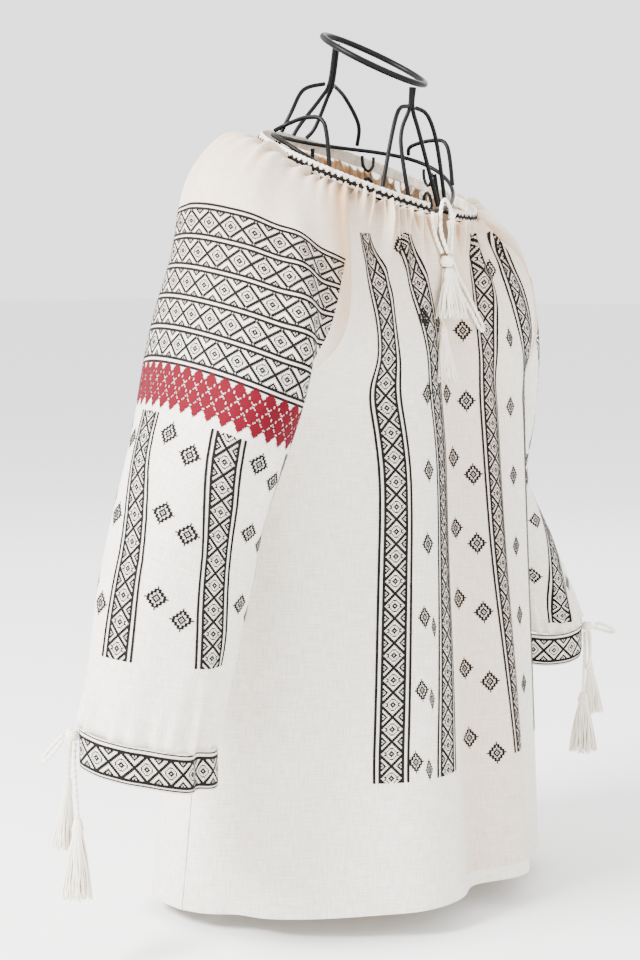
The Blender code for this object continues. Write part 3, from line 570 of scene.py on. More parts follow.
def thread_look(name, dark, light):
    """Matt stranded cotton thread, a little uneven from stitch to stitch."""
    made, tree, shader = look(name, dark, 0.8, 0.0, 0.15)
    place = add(tree, "ShaderNodeTexCoord").outputs["Object"]
    noise = add(tree, "ShaderNodeTexNoise", {}, Vector=place, Scale=700.0, Detail=1.0)
    colour = blend_colour(tree, noise.outputs[0], dark, light)
    tree.links.new(colour, shader.inputs["Base Color"])
    bump = add(tree, "ShaderNodeBump", {}, Strength=0.5, Distance=0.0003, Height=noise.outputs[0])
    tree.links.new(bump.outputs[0], shader.inputs["Normal"])
    return made


def iron_look():
    """Black satin paint over bent iron wire, with faint runs in it."""
    made, tree, shader = look("iron wire, black satin paint", "#040405", 0.42, 0.0, 0.14)
    place = add(tree, "ShaderNodeTexCoord").outputs["Object"]
    noise = add(tree, "ShaderNodeTexNoise", {}, Vector=place, Scale=160.0, Detail=3.0)
    rough = add(tree, "ShaderNodeMapRange", {}, Value=noise.outputs[0], i3=0.32, i4=0.55)
    tree.links.new(rough.outputs[0], shader.inputs["Roughness"])
    bump = add(tree, "ShaderNodeBump", {}, Strength=0.2, Distance=0.0004, Height=noise.outputs[0])
    tree.links.new(bump.outputs[0], shader.inputs["Normal"])
    return made


COTTON = cotton_look()
YARN = thread_look("cotton cord, cream", "#e9dfcc", "#fbf5ea")
BLACK = thread_look("embroidery thread, brown black", "#050304", "#15110f")
RED = thread_look("embroidery thread, crimson", "#4a0010", "#640016")
IRON = iron_look()


# ---------------------------------------------------------------- the camera

TURN = math.radians(-50.0)
PITCH = math.radians(6.0)
AWAY = 1.8
BESIDE = -0.0439
EYE = 0.573


def make_camera():
    """A long lens from the wearer's front right, at the height of the neckline."""
    right = Vector((math.cos(TURN), math.sin(TURN), 0))
    back = Vector((math.sin(TURN), -math.cos(TURN), 0))
    lens = bpy.data.cameras.new("camera")
    lens.lens = 73.875
    lens.sensor_width = 36.0
    eye = bpy.data.objects.new("camera", lens)
    eye.location = back * AWAY + right * BESIDE + Vector((0, 0, EYE))
    sight = -back * math.cos(PITCH) - Vector((0, 0, math.sin(PITCH)))
    eye.rotation_euler = sight.to_track_quat("-Z", "Y").to_euler()
    bpy.context.scene.collection.objects.link(eye)
    bpy.context.scene.camera = eye


make_camera()


# ---------------------------------------------------------------- making objects


def new_object(name, data, finish, slot, *nodes):
    """An object of the root body, which stands for the given solids."""
    thing = bpy.data.objects.new(name, data)
    bpy.context.scene.collection.objects.link(thing)
    data.materials.append(finish)
    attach(thing, "root")
    if nodes:
        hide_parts(*nodes)
    return thing


def through(points, spacing, closed=False):
    """Points along one smooth curve through the given ones, about a spacing apart."""
    given = [Vector(p) for p in points]
    count = len(given)
    legs = count if closed else count - 1
    made = []
    for leg in range(legs):
        if closed:
            near = [given[(leg + k - 1) % count] for k in range(4)]
        else:
            near = [given[min(max(leg + k - 1, 0), count - 1)] for k in range(4)]
        before, start, end, after = near
        steps = max(1, round((end - start).length / spacing))
        for i in range(steps):
            t = i / steps
            made.append(
                0.5
                * (
                    2 * start
                    + (end - before) * t
                    + (2 * before - 5 * start + 4 * end - after) * t**2
                    + (3 * start - before - 3 * end + after) * t**3
                )
            )
    if not closed:
        made.append(given[-1])
    return made


def splines(name, routes, width, finish, slot, nodes, closed=False, sides=2):
    """A curve object with one round wire or strand along each route."""
    curve = bpy.data.curves.new(name, "CURVE")
    curve.dimensions = "3D"
    curve.bevel_depth = width / 2
    curve.bevel_resolution = sides
    curve.use_fill_caps = not closed
    for route in routes:
        spline = curve.splines.new("POLY")
        spline.points.add(len(route) - 1)
        for spot, point in zip(spline.points, route):
            spot.co = (*point, 1.0)
        spline.use_cyclic_u = closed
    return new_object(name, curve, finish, slot, *nodes)


WIRE_STEP = 0.0035  # along a bent wire, from one point to the next


def tube(name, points, width, closed=False):
    """A wire of the form, smoother than its solid."""
    route = through(points, WIRE_STEP, closed)
    splines(name + "_wire", [route], width, IRON, "iron_wire", (name,), closed, 3)


ROPE_SIDES = 12
ROPE_LAY = 0.0080  # along the cord, half a turn of its three strands
ROPE_STEP = 0.0007


def rope(name, points, width, exit_from, **facts):
    """A cord of three twisted strands: a grid rolled up round the route."""
    route = through(points, ROPE_STEP)
    length = sum((b - a).length for a, b in zip(route, route[1:]))
    bm = bmesh.new()
    bmesh.ops.create_grid(bm, x_segments=ROPE_SIDES, y_segments=len(route) - 1, size=0.5)
    ahead = (route[1] - route[0]).normalized()
    side = ahead.orthogonal().normalized()
    frames = []
    gone = 0.0
    for k, point in enumerate(route):
        after = route[min(k + 1, len(route) - 1)] - route[max(k - 1, 0)]
        side = (side - side.project(after)).normalized()
        frames.append((point, side, after.normalized().cross(side), gone))
        if k + 1 < len(route):
            gone += (route[k + 1] - point).length
    for vert in bm.verts:
        turn = math.tau * (vert.co.x + 0.5)
        point, one, two, far = frames[round((vert.co.y + 0.5) * (len(route) - 1))]
        strand = math.cos(3 * turn - 3 * math.pi * far / ROPE_LAY)
        radius = width / 2 * (0.84 + 0.20 * strand)
        vert.co = point + (one * math.cos(turn) + two * math.sin(turn)) * radius
    bmesh.ops.remove_doubles(bm, verts=bm.verts, dist=1e-6)
    bmesh.ops.holes_fill(bm, edges=[e for e in bm.edges if e.is_boundary], sides=0)
    bmesh.ops.recalc_face_normals(bm, faces=bm.faces)
    mesh = bpy.data.meshes.new(name)
    bm.to_mesh(mesh)
    bm.free()
    mesh.shade_smooth()
    cord = new_object(name + "_rope", mesh, YARN, "cotton_cord", name)
    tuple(exit_from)
    [tuple(p) for p in route]
    return cord


TASSEL_STRANDS = 150
STRAND = 0.0012  # a strand's width
STRAND_POINTS = 10
WRAP_TURNS = 6
WRAP_POINTS = 60


def tassel(name, top, way, length, half, flat, seed):
    """Many thin strands hung from a wrapped head, flatter where the tassel lies on cloth."""
    rng = np.random.default_rng(seed)
    tilt = Vector((0, 0, -1)).rotation_difference(Vector(way).normalized()).to_matrix()
    shares = [row[0] for row in TASSEL_PROFILE]
    sizes = [row[1] for row in TASSEL_PROFILE]

    def at(turn, out, share, sway=0.0):
        radius = half * 0.93 * np.interp(share, shares, sizes) * out
        spot = (radius * math.cos(turn) + sway, radius * math.sin(turn) * flat, -share * length)
        return Vector(top) + tilt @ Vector(spot)

    routes = []
    for _ in range(TASSEL_STRANDS):
        turn = math.tau * rng.uniform()
        out = math.sqrt(rng.uniform(0.02, 1.0))
        end = rng.uniform(0.86, 0.97)
        sway = rng.uniform(-0.0012, 0.0012)
        phase = rng.uniform(0, 6.28)
        route = []
        for k in range(STRAND_POINTS):
            share = end * k / (STRAND_POINTS - 1)
            wave = sway * math.sin(phase + 5 * share) * share
            route.append(at(turn + 0.35 * math.sin(phase + 3 * share) * share, out, share, wave))
        routes.append(route)
    wraps = []
    for k in range(WRAP_POINTS + 1):
        turned = k / WRAP_POINTS
        wraps.append(at(math.tau * WRAP_TURNS * turned, 1.08, 0.12 + 0.07 * turned))
    routes.append(wraps)
    splines(name + "_strands", routes, STRAND, YARN, "cotton_cord", (name,), sides=0)
    return name + "_strands"


KNOT_TURNS = 5
KNOT_POINTS = 70
KNOT_STRAND = 0.0026
KNOT_HEART = 0.0064


def bound_knot(name, top, radius, start):
    """A knot: cord wound round itself, wider at its middle, over a solid heart."""
    route = []
    for k in range(KNOT_POINTS + 1):
        share = k / KNOT_POINTS
        swell = 0.62 + 0.34 * math.sin(math.pi * share)
        turn = math.tau * KNOT_TURNS * share + start
        out = radius * swell - 0.0006
        fall = -KNOT_HEIGHT * (0.1 + 0.8 * share)
        route.append(Vector(top) + Vector((out * math.cos(turn), out * math.sin(turn), fall)))
    core = [Vector(top) - Vector((0, 0, KNOT_HEIGHT * share)) for share in (0.15, 0.5, 0.85)]
    splines(name + "_wound", [route], KNOT_STRAND, YARN, "cotton_cord", (name,))
    splines(name + "_heart", [core], KNOT_HEART, YARN, "cotton_cord", ())


# ---------------------------------------------------------------- the neck tie

TASSEL_PROFILE = ((0.0, 0.20), (0.04, 0.30), (0.12, 0.34), (0.17, 0.28), (0.45, 0.62), (1.0, 1.0))
KNOT_HEIGHT = 0.010
NECK_KNOT = (-0.0045, 0.5830, 0.0075)
NECK_KNOT_RADIUS = 0.0060

# Places on the front of the blouse are x, z, and how far the cord's middle stands off the cloth.
NECK_ROUTES = {
    "neck_cord_right": (
        (-0.0160, 0.6260, 0.0050),
        (-0.0155, 0.6160, 0.0034),
        (-0.0125, 0.6030, 0.0030),
        (-0.0085, 0.5902, 0.0052),
    ),
    "neck_cord_left": (
        (0.0160, 0.6260, 0.0050),
        (0.0145, 0.6160, 0.0034),
        (0.0085, 0.6030, 0.0030),
        (0.0006, 0.5902, 0.0052),
    ),
    "neck_loop_upper": (
        (-0.0062, 0.5902, 0.0098),
        (-0.0100, 0.6080, 0.0092),
        (-0.0095, 0.6260, 0.0090),
        (-0.0015, 0.6370, 0.0085),
        (0.0070, 0.6260, 0.0090),
        (0.0045, 0.6080, 0.0092),
        (-0.0018, 0.5902, 0.0098),
    ),
    "neck_loop_lower": (
        (0.0050, 0.5820, 0.0080),
        (0.0150, 0.5720, 0.0050),
        (0.0280, 0.5550, 0.0032),
        (0.0400, 0.5330, 0.0028),
        (0.0445, 0.5230, 0.0028),
        (0.0395, 0.5235, 0.0028),
        (0.0310, 0.5390, 0.0030),
        (0.0200, 0.5570, 0.0040),
        (0.0085, 0.5730, 0.0070),
    ),
    "neck_cord_lower": (
        (-0.0045, 0.5766, 0.0040),
        (-0.0050, 0.5600, 0.0028),
        (-0.0070, 0.5420, 0.0028),
        (-0.0080, 0.5272, 0.0052),
    ),
}

# name, x, z and stand-off of the top and of the fringe, half width at the fringe
NECK_TASSELS = (
    ("neck_tassel_upper", (-0.0045, 0.5766, 0.0104), (-0.0065, 0.5310, 0.0154), 0.0165),
    ("neck_tassel_lower", (-0.0080, 0.5266, 0.0060), (-0.0130, 0.4750, 0.0095), 0.0100),
)
TASSEL_FLAT = 0.45  # how thick a tassel that lies on cloth is, as a share of its width


CUFF_KNOT_RADIUS = 0.0055
CUFF_KNOT_OUT = 0.0085

# Routes in the tie's own frame: outward from the cuff, sideways along it, and down.
CUFF_LOOPS = {
    "right": {
        "cuff_loop_upper": (
            (0.0162, -0.0021, 0.0000),
            (0.0200, -0.0035, 0.0040),
            (0.0290, -0.0045, 0.0140),
            (0.0330, -0.0025, 0.0205),
            (0.0310, 0.0015, 0.0210),
            (0.0240, 0.0035, 0.0140),
            (0.0162, 0.0025, 0.0040),
        ),
        "cuff_cord_long": (
            (0.0064, 0.0021, 0.0062),
            (0.0070, 0.0040, 0.0200),
            (0.0060, 0.0050, 0.0400),
            (0.0050, 0.0040, 0.0600),
            (0.0045, 0.0030, 0.0688),
        ),
        "cuff_cord_short": (
            (0.0106, -0.0021, 0.0062),
            (0.0115, -0.0045, 0.0180),
            (0.0130, -0.0060, 0.0300),
            (0.0130, -0.0065, 0.0378),
        ),
    },
    "left": {
        "cuff_loop_upper": (
            (0.0162, -0.0021, -0.0015),
            (0.0210, -0.0030, -0.0025),
            (0.0300, -0.0040, 0.0010),
            (0.0365, -0.0020, 0.0055),
            (0.0350, 0.0020, 0.0080),
            (0.0270, 0.0040, 0.0060),
            (0.0162, 0.0030, 0.0025),
        ),
        "cuff_loop_lower": (
            (0.0106, -0.0024, 0.0062),
            (0.0095, -0.0085, 0.0160),
            (0.0080, -0.0135, 0.0300),
            (0.0060, -0.0115, 0.0410),
            (0.0048, -0.0075, 0.0400),
            (0.0052, -0.0050, 0.0250),
            (0.0064, -0.0022, 0.0062),
        ),
        "cuff_cord_long": (
            (0.0064, 0.0021, 0.0062),
            (0.0070, 0.0030, 0.0250),
            (0.0060, 0.0010, 0.0480),
            (0.0050, 0.0000, 0.0698),
        ),
        "cuff_cord_short": (
            (0.0106, 0.0024, 0.0062),
            (0.0125, 0.0065, 0.0150),
            (0.0140, 0.0085, 0.0280),
            (0.0140, 0.0085, 0.0397),
        ),
    },
}

# name, top in the tie's frame, lean outward and sideways, length, half width at the fringe
CUFF_TASSELS = {
    "right": (
        ("cuff_tassel_long", (0.0045, 0.0030, 0.0694), (0.02, 0.04), 0.070, 0.0125),
        ("cuff_tassel_short", (0.0130, -0.0065, 0.0384), (0.10, -0.08), 0.062, 0.0090),
    ),
    "left": (
        ("cuff_tassel_long", (0.0050, 0.0000, 0.0704), (0.0, -0.05), 0.064, 0.0140),
        ("cuff_tassel_short", (0.0140, 0.0085, 0.0404), (0.12, 0.12), 0.058, 0.0100),
    ),
}


def off_front(x, z, off):
    """The point that stands off the front of the blouse at a given x and z."""
    across, down = x / 0.19, 1.0
    for _ in range(12):
        spot = front_with_folds(np.array([across]), np.array([down]))[0]
        side = front_with_folds(np.array([across + 1e-3]), np.array([down]))[0]
        below = front_with_folds(np.array([across]), np.array([down + 1e-3]))[0]
        across += 1e-3 * (x - spot[0]) / (side[0] - spot[0])
        down += 1e-3 * (z - spot[2]) / (below[2] - spot[2])
        down = max(down, 0.0)
    return Vector((x, spot[1] - off, z))


# The strands of a tassel spread wider than its solid, by these shares.
NECK_SPREAD = 1.4
CUFF_SPREAD = 1.15


def make_neck_tie():
    """Two cord ends come over the band beside the slit, and meet in a knot with two loops."""
    x, z, off = NECK_KNOT
    top = off_front(x, z, off) + Vector((0, 0, KNOT_HEIGHT / 2))
    bound_knot("neck_knot", top, NECK_KNOT_RADIUS, 0.0)
    names = {}
    for seed, (name, start, end, half) in enumerate(NECK_TASSELS):
        head, tip = off_front(*start), off_front(*end)
        full = NECK_SPREAD * half
        names[name] = tassel(name, head, tip - head, (tip - head).length, full, TASSEL_FLAT, seed + 31)
    for name, places in NECK_ROUTES.items():
        route = [off_front(*point) for point in places]
        held = [bpy.data.objects[names["neck_tassel_lower"]]] if name == "neck_cord_lower" else []
        rope(name, route, CORD, route[0], far_end="knot", with_pieces=held)


def cuff_tie_frame(side):
    """The tie's place on its cuff: the point on the cuff's outside, and the way out of it."""
    surface = cuff_surface(side)
    ends = surface(np.array([-1.0, 1.0]), np.array([0.35, 0.35]))
    out = Vector((math.cos(TIE_TURN[side]), math.sin(TIE_TURN[side]), 0))
    return Vector(ends.mean(axis=0)), out


def make_cuff_tie(side):
    """A knot on the cuff's edge, its loops, and two cord ends with a tassel each."""
    spot, out = cuff_tie_frame(side)
    along = Vector((-out.y, out.x, 0))
    down = Vector((0, 0, -1))

    def at(outward, sideways, fall):
        return spot + out * outward + along * sideways + down * fall

    bound_knot("cuff_knot_" + side, at(CUFF_KNOT_OUT, 0, -KNOT_HEIGHT / 2), CUFF_KNOT_RADIUS, 1.0)
    held = {}
    for seed, (name, top, way, length, half) in enumerate(CUFF_TASSELS[side]):
        lean = out * way[0] + along * way[1] + down
        full = CUFF_SPREAD * half
        strands = tassel(name + "_" + side, at(*top), lean, length, full, 1.0, seed + len(side) * 7)
        held[name.replace("tassel", "cord")] = [bpy.data.objects[strands]]
    for name, places in CUFF_LOOPS[side].items():
        route = [at(*p) for p in places]
        rope(name + "_" + side, route, CORD, route[0], far_end="knot", with_pieces=held.get(name, []))


make_neck_tie()
for _side in ("right", "left"):
    make_cuff_tie(_side)


# ---------------------------------------------------------------- the wire form

RING_CENTRE = (0.0, -0.006, 0.763)
RING_RADIUS = 0.049
RING_TILT = math.radians(27.0)
RING_HANG = -0.123  # the neck ring's slant: rise towards the wearer's left, per metre of width
FORM_HANG = -0.06  # the shoulder hoop's and the arches' slant

# Rise is from the middle height to the back, and saddle is from it to both sides.
# name, half width, half depth, middle y, height, rise, saddle, slant
HOOPS = (
    ("form_hoop_shoulder", 0.105, 0.062, 0.004, 0.6680, 0.0320, 0.0085, FORM_HANG),
    ("form_hoop_bust", 0.145, 0.078, 0.006, 0.5000, 0.0, 0.0, 0.0),
    ("form_hoop_waist", 0.112, 0.072, 0.010, 0.3600, 0.0, 0.0, 0.0),
    ("form_hoop_hip", 0.135, 0.082, 0.014, 0.2000, 0.0, 0.0, 0.0),
)


def hoop_point(hoop, turn, inside=0.0, above=0.0):
    """A point on a hoop's middle line, turn 0 at the front, or one that far inside or above it."""
    name, half_width, half_depth, middle, height, rise, saddle, slant = hoop
    x = (half_width - inside) * math.sin(turn)
    y = middle - (half_depth - inside) * math.cos(turn)
    z = height - rise * math.cos(turn) - saddle * math.cos(2 * turn) + slant * x
    return Vector((x, y, z + above))


def both_sides(name, route, width, ends=()):
    """A wire on each side. The route is x outwards, y and z above the slant; ends join a hoop."""
    for side, sign in (("right", -1), ("left", 1)):
        points = [Vector((sign * x, y, z + FORM_HANG * sign * x)) for x, y, z in route]
        points += [hoop_point(HOOPS[0], sign * turn, above=above) for turn, above in ends]
        tube(name + "_" + side, points, width)


def make_form():
    """Neck ring, two posts, arches and scrolls above, plain ribs and hoops below, the ribs standing on
    the base ring.
    """
    ring = []
    for i in range(16):
        turn = math.tau * i / 16
        x = RING_RADIUS * math.sin(turn)
        y = -RING_RADIUS * math.cos(turn)
        z = RING_CENTRE[2] + y * math.sin(RING_TILT) + RING_HANG * x
        ring.append((x, RING_CENTRE[1] + y * math.cos(RING_TILT), z))
    tube("form_neck_ring", ring, RING_WIRE, closed=True)
    for hoop in HOOPS:
        route = [hoop_point(hoop, math.tau * i / 16) for i in range(16)]
        tube(hoop[0], route, WIRE, closed=True)

    # Two wires side by side make each post, and they part below the neck.
    touch = WIRE + AIR
    under_ring = RING_WIRE / 2 + AIR + 0.0012
    half = touch / 2 + 0.0002
    top_front = Vector(ring[0]) - Vector((0, 0, under_ring))
    top_back = Vector(ring[8]) - Vector((0, 0, under_ring))
    posts = {
        "form_post_front_right": (-0.13, top_front, -1, ((0, -0.048, 0.718), (-0.010, -0.0462, 0.690))),
        "form_post_front_left": (0.30, top_front, 1, ((0, -0.048, 0.718), (0.009, -0.0488, 0.696))),
        "form_post_back_right": (
            -2.85,
            top_back,
            -1,
            ((0, 0.0438, 0.746), (-0.005, 0.0500, 0.732), (-0.022, 0.0600, 0.708)),
        ),
        "form_post_back_left": (
            -3.05,
            top_back,
            1,
            ((0, 0.0438, 0.746), (-0.001, 0.0500, 0.732), (-0.006, 0.0600, 0.706)),
        ),
    }
    for name, (turn, top, sign, bends) in posts.items():
        apart = Vector((sign * half, 0, 0))
        foot = hoop_point(HOOPS[0], turn, above=touch)
        tube(name, [top + apart, *[Vector(p) + apart for p in bends], foot], WIRE)

    arch_back = ((0.0072, 0.0460, 0.744), (0.030, 0.0516, 0.736), (0.048, 0.0506, 0.714))
    both_sides("form_arch_back", arch_back, WIRE, ((2.60, touch),))
    arch_front = ((0.0066, -0.0486, 0.719), (0.021, -0.0505, 0.714), (0.033, -0.0520, 0.690))
    both_sides("form_arch_front", arch_front, WIRE, ((0.46, touch),))
    shoulder = ((0.089, 0.020, 0.697), (0.090, -0.004, 0.7015), (0.089, -0.022, 0.696))
    route = [hoop_start(1.98, touch)] + list(shoulder)
    both_sides("form_arch_shoulder", route, WIRE, ((1.02, touch),))
    make_scrolls()
    make_ribs()


def hoop_start(turn, above):
    """A start over the left of the shoulder hoop, with the slant taken out again."""
    point = hoop_point(HOOPS[0], turn, above=above)
    return (point.x, point.y, point.z - FORM_HANG * point.x)


def make_scrolls():
    """Plain scrolls: a bow of wire hung under the shoulder hoop, and an arch of wire below it."""
    for place, turn in (("back", 2.475), ("side", 1.693)):
        for name, sign, drop in (("form_bow_", 1, 0.0048), ("form_bend_", -1, 0.0250)):
            route = []
            for across, fall in SCROLL:
                level = drop + (fall if sign > 0 else SCROLL_HEIGHT - fall)
                route.append(hoop_start(turn + across / 0.085, -level))
            both_sides(name + place, route, WIRE * 0.8)


# One bow of a scroll: across, and how far below its two ends.
SCROLL = ((-0.0055, 0.0), (-0.0050, 0.0085), (0.0, 0.0140), (0.0050, 0.0085), (0.0055, 0.0))
SCROLL_HEIGHT = 0.0140

# The side ribs go out under the shoulders first, where the blouse rests on them.
SHOULDER_WIRE = (
    (0.112, 0.001, 0.6340),
    (0.138, 0.001, 0.6270),
    (0.162, 0.002, 0.6010),
    (0.168, 0.003, 0.5600),
)


def make_ribs():
    """Four ribs from under the shoulder hoop to the base, inside the hoops that they pass."""
    inside = WIRE + AIR
    for name, turn in (("front", 0.0), ("left", 90.0), ("back", 180.0), ("right", 270.0)):
        turn = math.radians(turn)
        route = [hoop_point(HOOPS[0], turn, above=-inside)]
        if name in ("left", "right"):
            sign = math.copysign(1.0, math.sin(turn))
            route += [Vector((sign * x, y, z)) for x, y, z in SHOULDER_WIRE]
        for hoop in HOOPS[1:]:
            route.append(hoop_point(hoop, turn, inside=inside, above=0.02))
            route.append(hoop_point(hoop, turn, inside=inside, above=-0.02))
        reach = BASE_RADIUS - BASE_WIDTH / 2
        foot = Vector((reach * math.sin(turn), BASE_CENTRE - reach * math.cos(turn), 0))
        route.append(foot + Vector((0, 0, 0.055)))
        route.append(foot + Vector((0, 0, BASE_THICK + AIR)))
        tube("form_rib_" + name, route, WIRE)


make_form()


# ---------------------------------------------------------------- the cloth

SHELL = 0.0007  # the cloth's own thickness
GATHER_REACH = 5  # columns of the grid to each side that a hollow is measured against
HOLLOW = 0.0009  # the depth of a hollow that gets the full painted shade
NECK_SHADE_FROM = 0.50  # height above which painted shade grows on the cloth
NECK_SHADE_RISE = 0.13


def lay_weave(mesh, places):
    """The weave's own map: each vertex's place on the flat cloth, in metres."""
    corners = np.zeros(len(mesh.loops), int)
    mesh.loops.foreach_get("vertex_index", corners)
    weave = mesh.uv_layers.new(name="cloth")
    weave.data.foreach_set("uv", places[corners].ravel())


def cloth(name, surface, columns, levels, split=0.0, open_to=0.0, neck_shade=0.0, shade=None):
    """One cut piece: a grid laid on its surface, with a little thickness."""
    bm = bmesh.new()
    bmesh.ops.create_grid(bm, x_segments=columns, y_segments=len(levels) - 1, size=0.5)
    column = np.array([round((v.co.x + 0.5) * columns) for v in bm.verts])
    level = np.array([round((0.5 - v.co.y) * (len(levels) - 1)) for v in bm.verts])
    down = np.array(levels)[level]
    if split:
        half = (columns - 1) / 2
        side = np.where(column <= half, -1.0, 1.0)
        share = np.where(column <= half, half - column, column - half - 1) / half
        across = side * (split + (1 - split) * share)
    else:
        across = 2 * column / columns - 1
    across = across * (1 - 0.002 * (np.abs(across) > 0.9999))
    points = surface(across, down)
    for vert, point in zip(bm.verts, points):
        vert.co = point
    if split:
        bm.verts.index_update()
        middle = [
            face
            for face in bm.faces
            if {column[v.index] for v in face.verts} == {int(half), int(half) + 1}
            and max(down[v.index] for v in face.verts) <= open_to + 1e-9
        ]
        bmesh.ops.delete(bm, geom=middle, context="FACES_ONLY")
    mesh = bpy.data.meshes.new(name)
    bm.to_mesh(mesh)
    bm.free()
    # The weave's own measure, in metres: round the piece and down it.
    grid = np.zeros((len(levels), columns + 1, 3))
    grid[level, column] = points
    gone_round = np.linalg.norm(np.diff(grid, axis=1), axis=-1).mean(axis=0).cumsum()
    gone_down = np.linalg.norm(np.diff(grid, axis=0), axis=-1).mean(axis=1).cumsum()
    places = np.stack([np.append(0, gone_round)[column], np.append(0, gone_down)[level]], axis=-1)
    lay_weave(mesh, places)
    # How far each point lies under its neighbours round the piece: the hollows of the gathers.
    wide = GATHER_REACH
    padded = np.pad(grid, ((0, 0), (wide, wide), (0, 0)), mode="edge")
    smooth = np.mean([padded[:, k : k + columns + 1] for k in range(2 * wide + 1)], axis=0)
    centre = grid.mean(axis=1, keepdims=True)
    out = grid - centre
    out[..., 2] = 0
    out /= np.linalg.norm(out, axis=-1, keepdims=True) + 1e-9
    depth = ((smooth - grid) * out).sum(axis=-1)
    # Painted shade, stored on each point for the cloth's colour: the hollows of the gathers, darker near
    # the neck, and the cloth near the neck as a whole.
    near_neck = np.clip((grid[..., 2] - NECK_SHADE_FROM) / NECK_SHADE_RISE, 0.0, 1.0)
    painted_shade = 0.9 * np.clip(depth / HOLLOW, 0.0, 1.0) * (0.12 + 0.88 * near_neck)
    painted_shade += neck_shade * near_neck
    spots = mesh.attributes.new("painted_shade", "FLOAT", "POINT")
    painted_shade = painted_shade[level, column]
    if shade is not None:
        painted_shade = painted_shade + shade(across, down)
    spots.data.foreach_set("value", np.clip(painted_shade, 0, 1).astype(np.float32))
    mesh.shade_smooth()
    thing = new_object(name + "_cloth", mesh, COTTON, "cotton_cloth", name)
    wall = thing.modifiers.new("wall", "SOLIDIFY")
    wall.thickness = SHELL
    wall.offset = -1.0
    return thing


def spaced(*runs):
    """Values from run to run: each run is (from, to, steps)."""
    made = [runs[0][0]]
    for low, high, steps in runs:
        made += [low + (high - low) * (k + 1) / steps for k in range(steps)]
    return made


def pleat_shade(across, down):
    """Painted warm shade over the deep pleat beside the slit."""
    return 0.30 * np.exp(-(((across - 0.16) / 0.22) ** 2)) * smooth_step(0.1, 0.6, down)


def seam_shade(across, down):
    """Painted warm shade in the hollows where the sleeve's front edge rolls over its seam."""
    return 0.5 * smooth_step(0.72, 0.95, np.abs(across)) * (1 - smooth_step(0.7, 1.2, down))


FIRST = 0.0027
BODY_LEVELS = spaced((FIRST, SLIT_END, 40), (SLIT_END, 1.0, 50), (1.0, 2.0, 60))
cloth(
    "front_panel",
    FRONT,
    281,
    BODY_LEVELS,
    split=SLIT_CLOSED / 0.19,
    open_to=SLIT_END,
    neck_shade=0.50,
    shade=pleat_shade,
)
cloth("back_panel", BACK, 240, BODY_LEVELS, neck_shade=0.45)
for _side in ("right", "left"):
    _levels = spaced((FIRST, 0.6, 60), (0.6, 2.0, 75))
    cloth("sleeve_" + _side, SLEEVES[_side], 220, _levels, neck_shade=0.40, shade=seam_shade)


def band_relief(surface, count, depth):
    """A narrow band puckered by what is gathered into it, with a scalloped upper edge."""

    def rise(across, down):
        wave = np.sin(across * count) + 0.6 * np.sin(across * count * 0.63 + 1.3)
        return depth * wave * (0.4 + 0.6 * np.cos(math.pi * (down - 0.5) * 0.6))

    return lambda across, down: raised(surface, rise, across, down)


def scalloped(surface):
    """The same surface with its upper edge lifted in small even bumps."""
    def moved(across, down):
        lift = 0.0007 * np.abs(np.sin(across * 210)) * (1 - np.clip(down, 0, 1))
        point = surface(across, down)
        return point + lift[..., None] * np.array([0.0, 0.0, 1.0])

    return moved


NECKBAND = band_relief(scalloped(neckband_surface), 150.0, 0.00045)
cloth("neckband", NECKBAND, 620, spaced((0.0, 1.0, 7)), neck_shade=0.05)
CUFFS = {}
for _side in ("right", "left"):
    CUFFS[_side] = band_relief(cuff_surface(_side), 41.0, 0.0003)
    cloth("cuff_" + _side, CUFFS[_side], 240, spaced((0.02, 1.0, 14)))


# ---------------------------------------------------------------- counted stitches

STITCH = 0.00119  # one cross-stitch, across and down
LIFT = 0.00042  # the thread stands this far off the cloth


def read(table, i, j):
    """A table's value between its rows and columns."""
    row = np.clip(np.floor(i).astype(int), 0, table.shape[0] - 2)
    col = np.clip(np.floor(j).astype(int), 0, table.shape[1] - 2)
    down, across = i - row, j - col
    top = table[row, col] * (1 - across) + table[row, col + 1] * across
    bottom = table[row + 1, col] * (1 - across) + table[row + 1, col + 1] * across
    return top * (1 - down) + bottom * down


def cloth_finder(surface, slope=None):
    """Finds across and down from the distance round the cloth and a height.

    The height is world z, or with a slope the distance down the middle, plus that slope round.
    """
    across = np.linspace(-1.0, 1.0, 241)
    down = np.linspace(0.0, 2.0, 241)
    grid = surface(*np.meshgrid(across, down))
    steps = np.linalg.norm(np.diff(grid, axis=1), axis=-1)
    gone = np.concatenate([np.zeros((len(down), 1)), np.cumsum(steps, axis=1)], axis=1)
    gone -= gone[:, [120]]
    if slope is None:
        height = grid[..., 2]
    else:
        steps = np.linalg.norm(np.diff(grid[:, 120], axis=0), axis=-1)
        height = np.append(0, np.cumsum(steps))[:, None] + slope * gone
    gone_slope = np.gradient(gone, axis=1)
    height_slope = np.gradient(height, axis=0)

    def find(distance, level):
        i = np.full(distance.shape, 120.0)
        j = np.full(distance.shape, 120.0)
        for _ in range(30):
            j += 0.8 * (distance - read(gone, i, j)) / read(gone_slope, i, j)
            j = np.clip(j, 0, 240)
            i += 0.8 * (level - read(height, i, j)) / read(height_slope, i, j)
            i = np.clip(i, 0, 240)
        miss = np.abs(distance - read(gone, i, j)) + np.abs(level - read(height, i, j))
        return j / 120 - 1, i / 120, miss < 0.0006

    return find


def outward(surface, across, down):
    """The unit normal of a surface where it is asked for, from small steps both ways."""
    step = 1e-3
    along = surface(across + step, down) - surface(across - step, down)
    fall = surface(across, down - step) - surface(across, down + step)
    normal = np.cross(along, fall)
    return normal / (np.linalg.norm(normal, axis=-1, keepdims=True) + 1e-12)


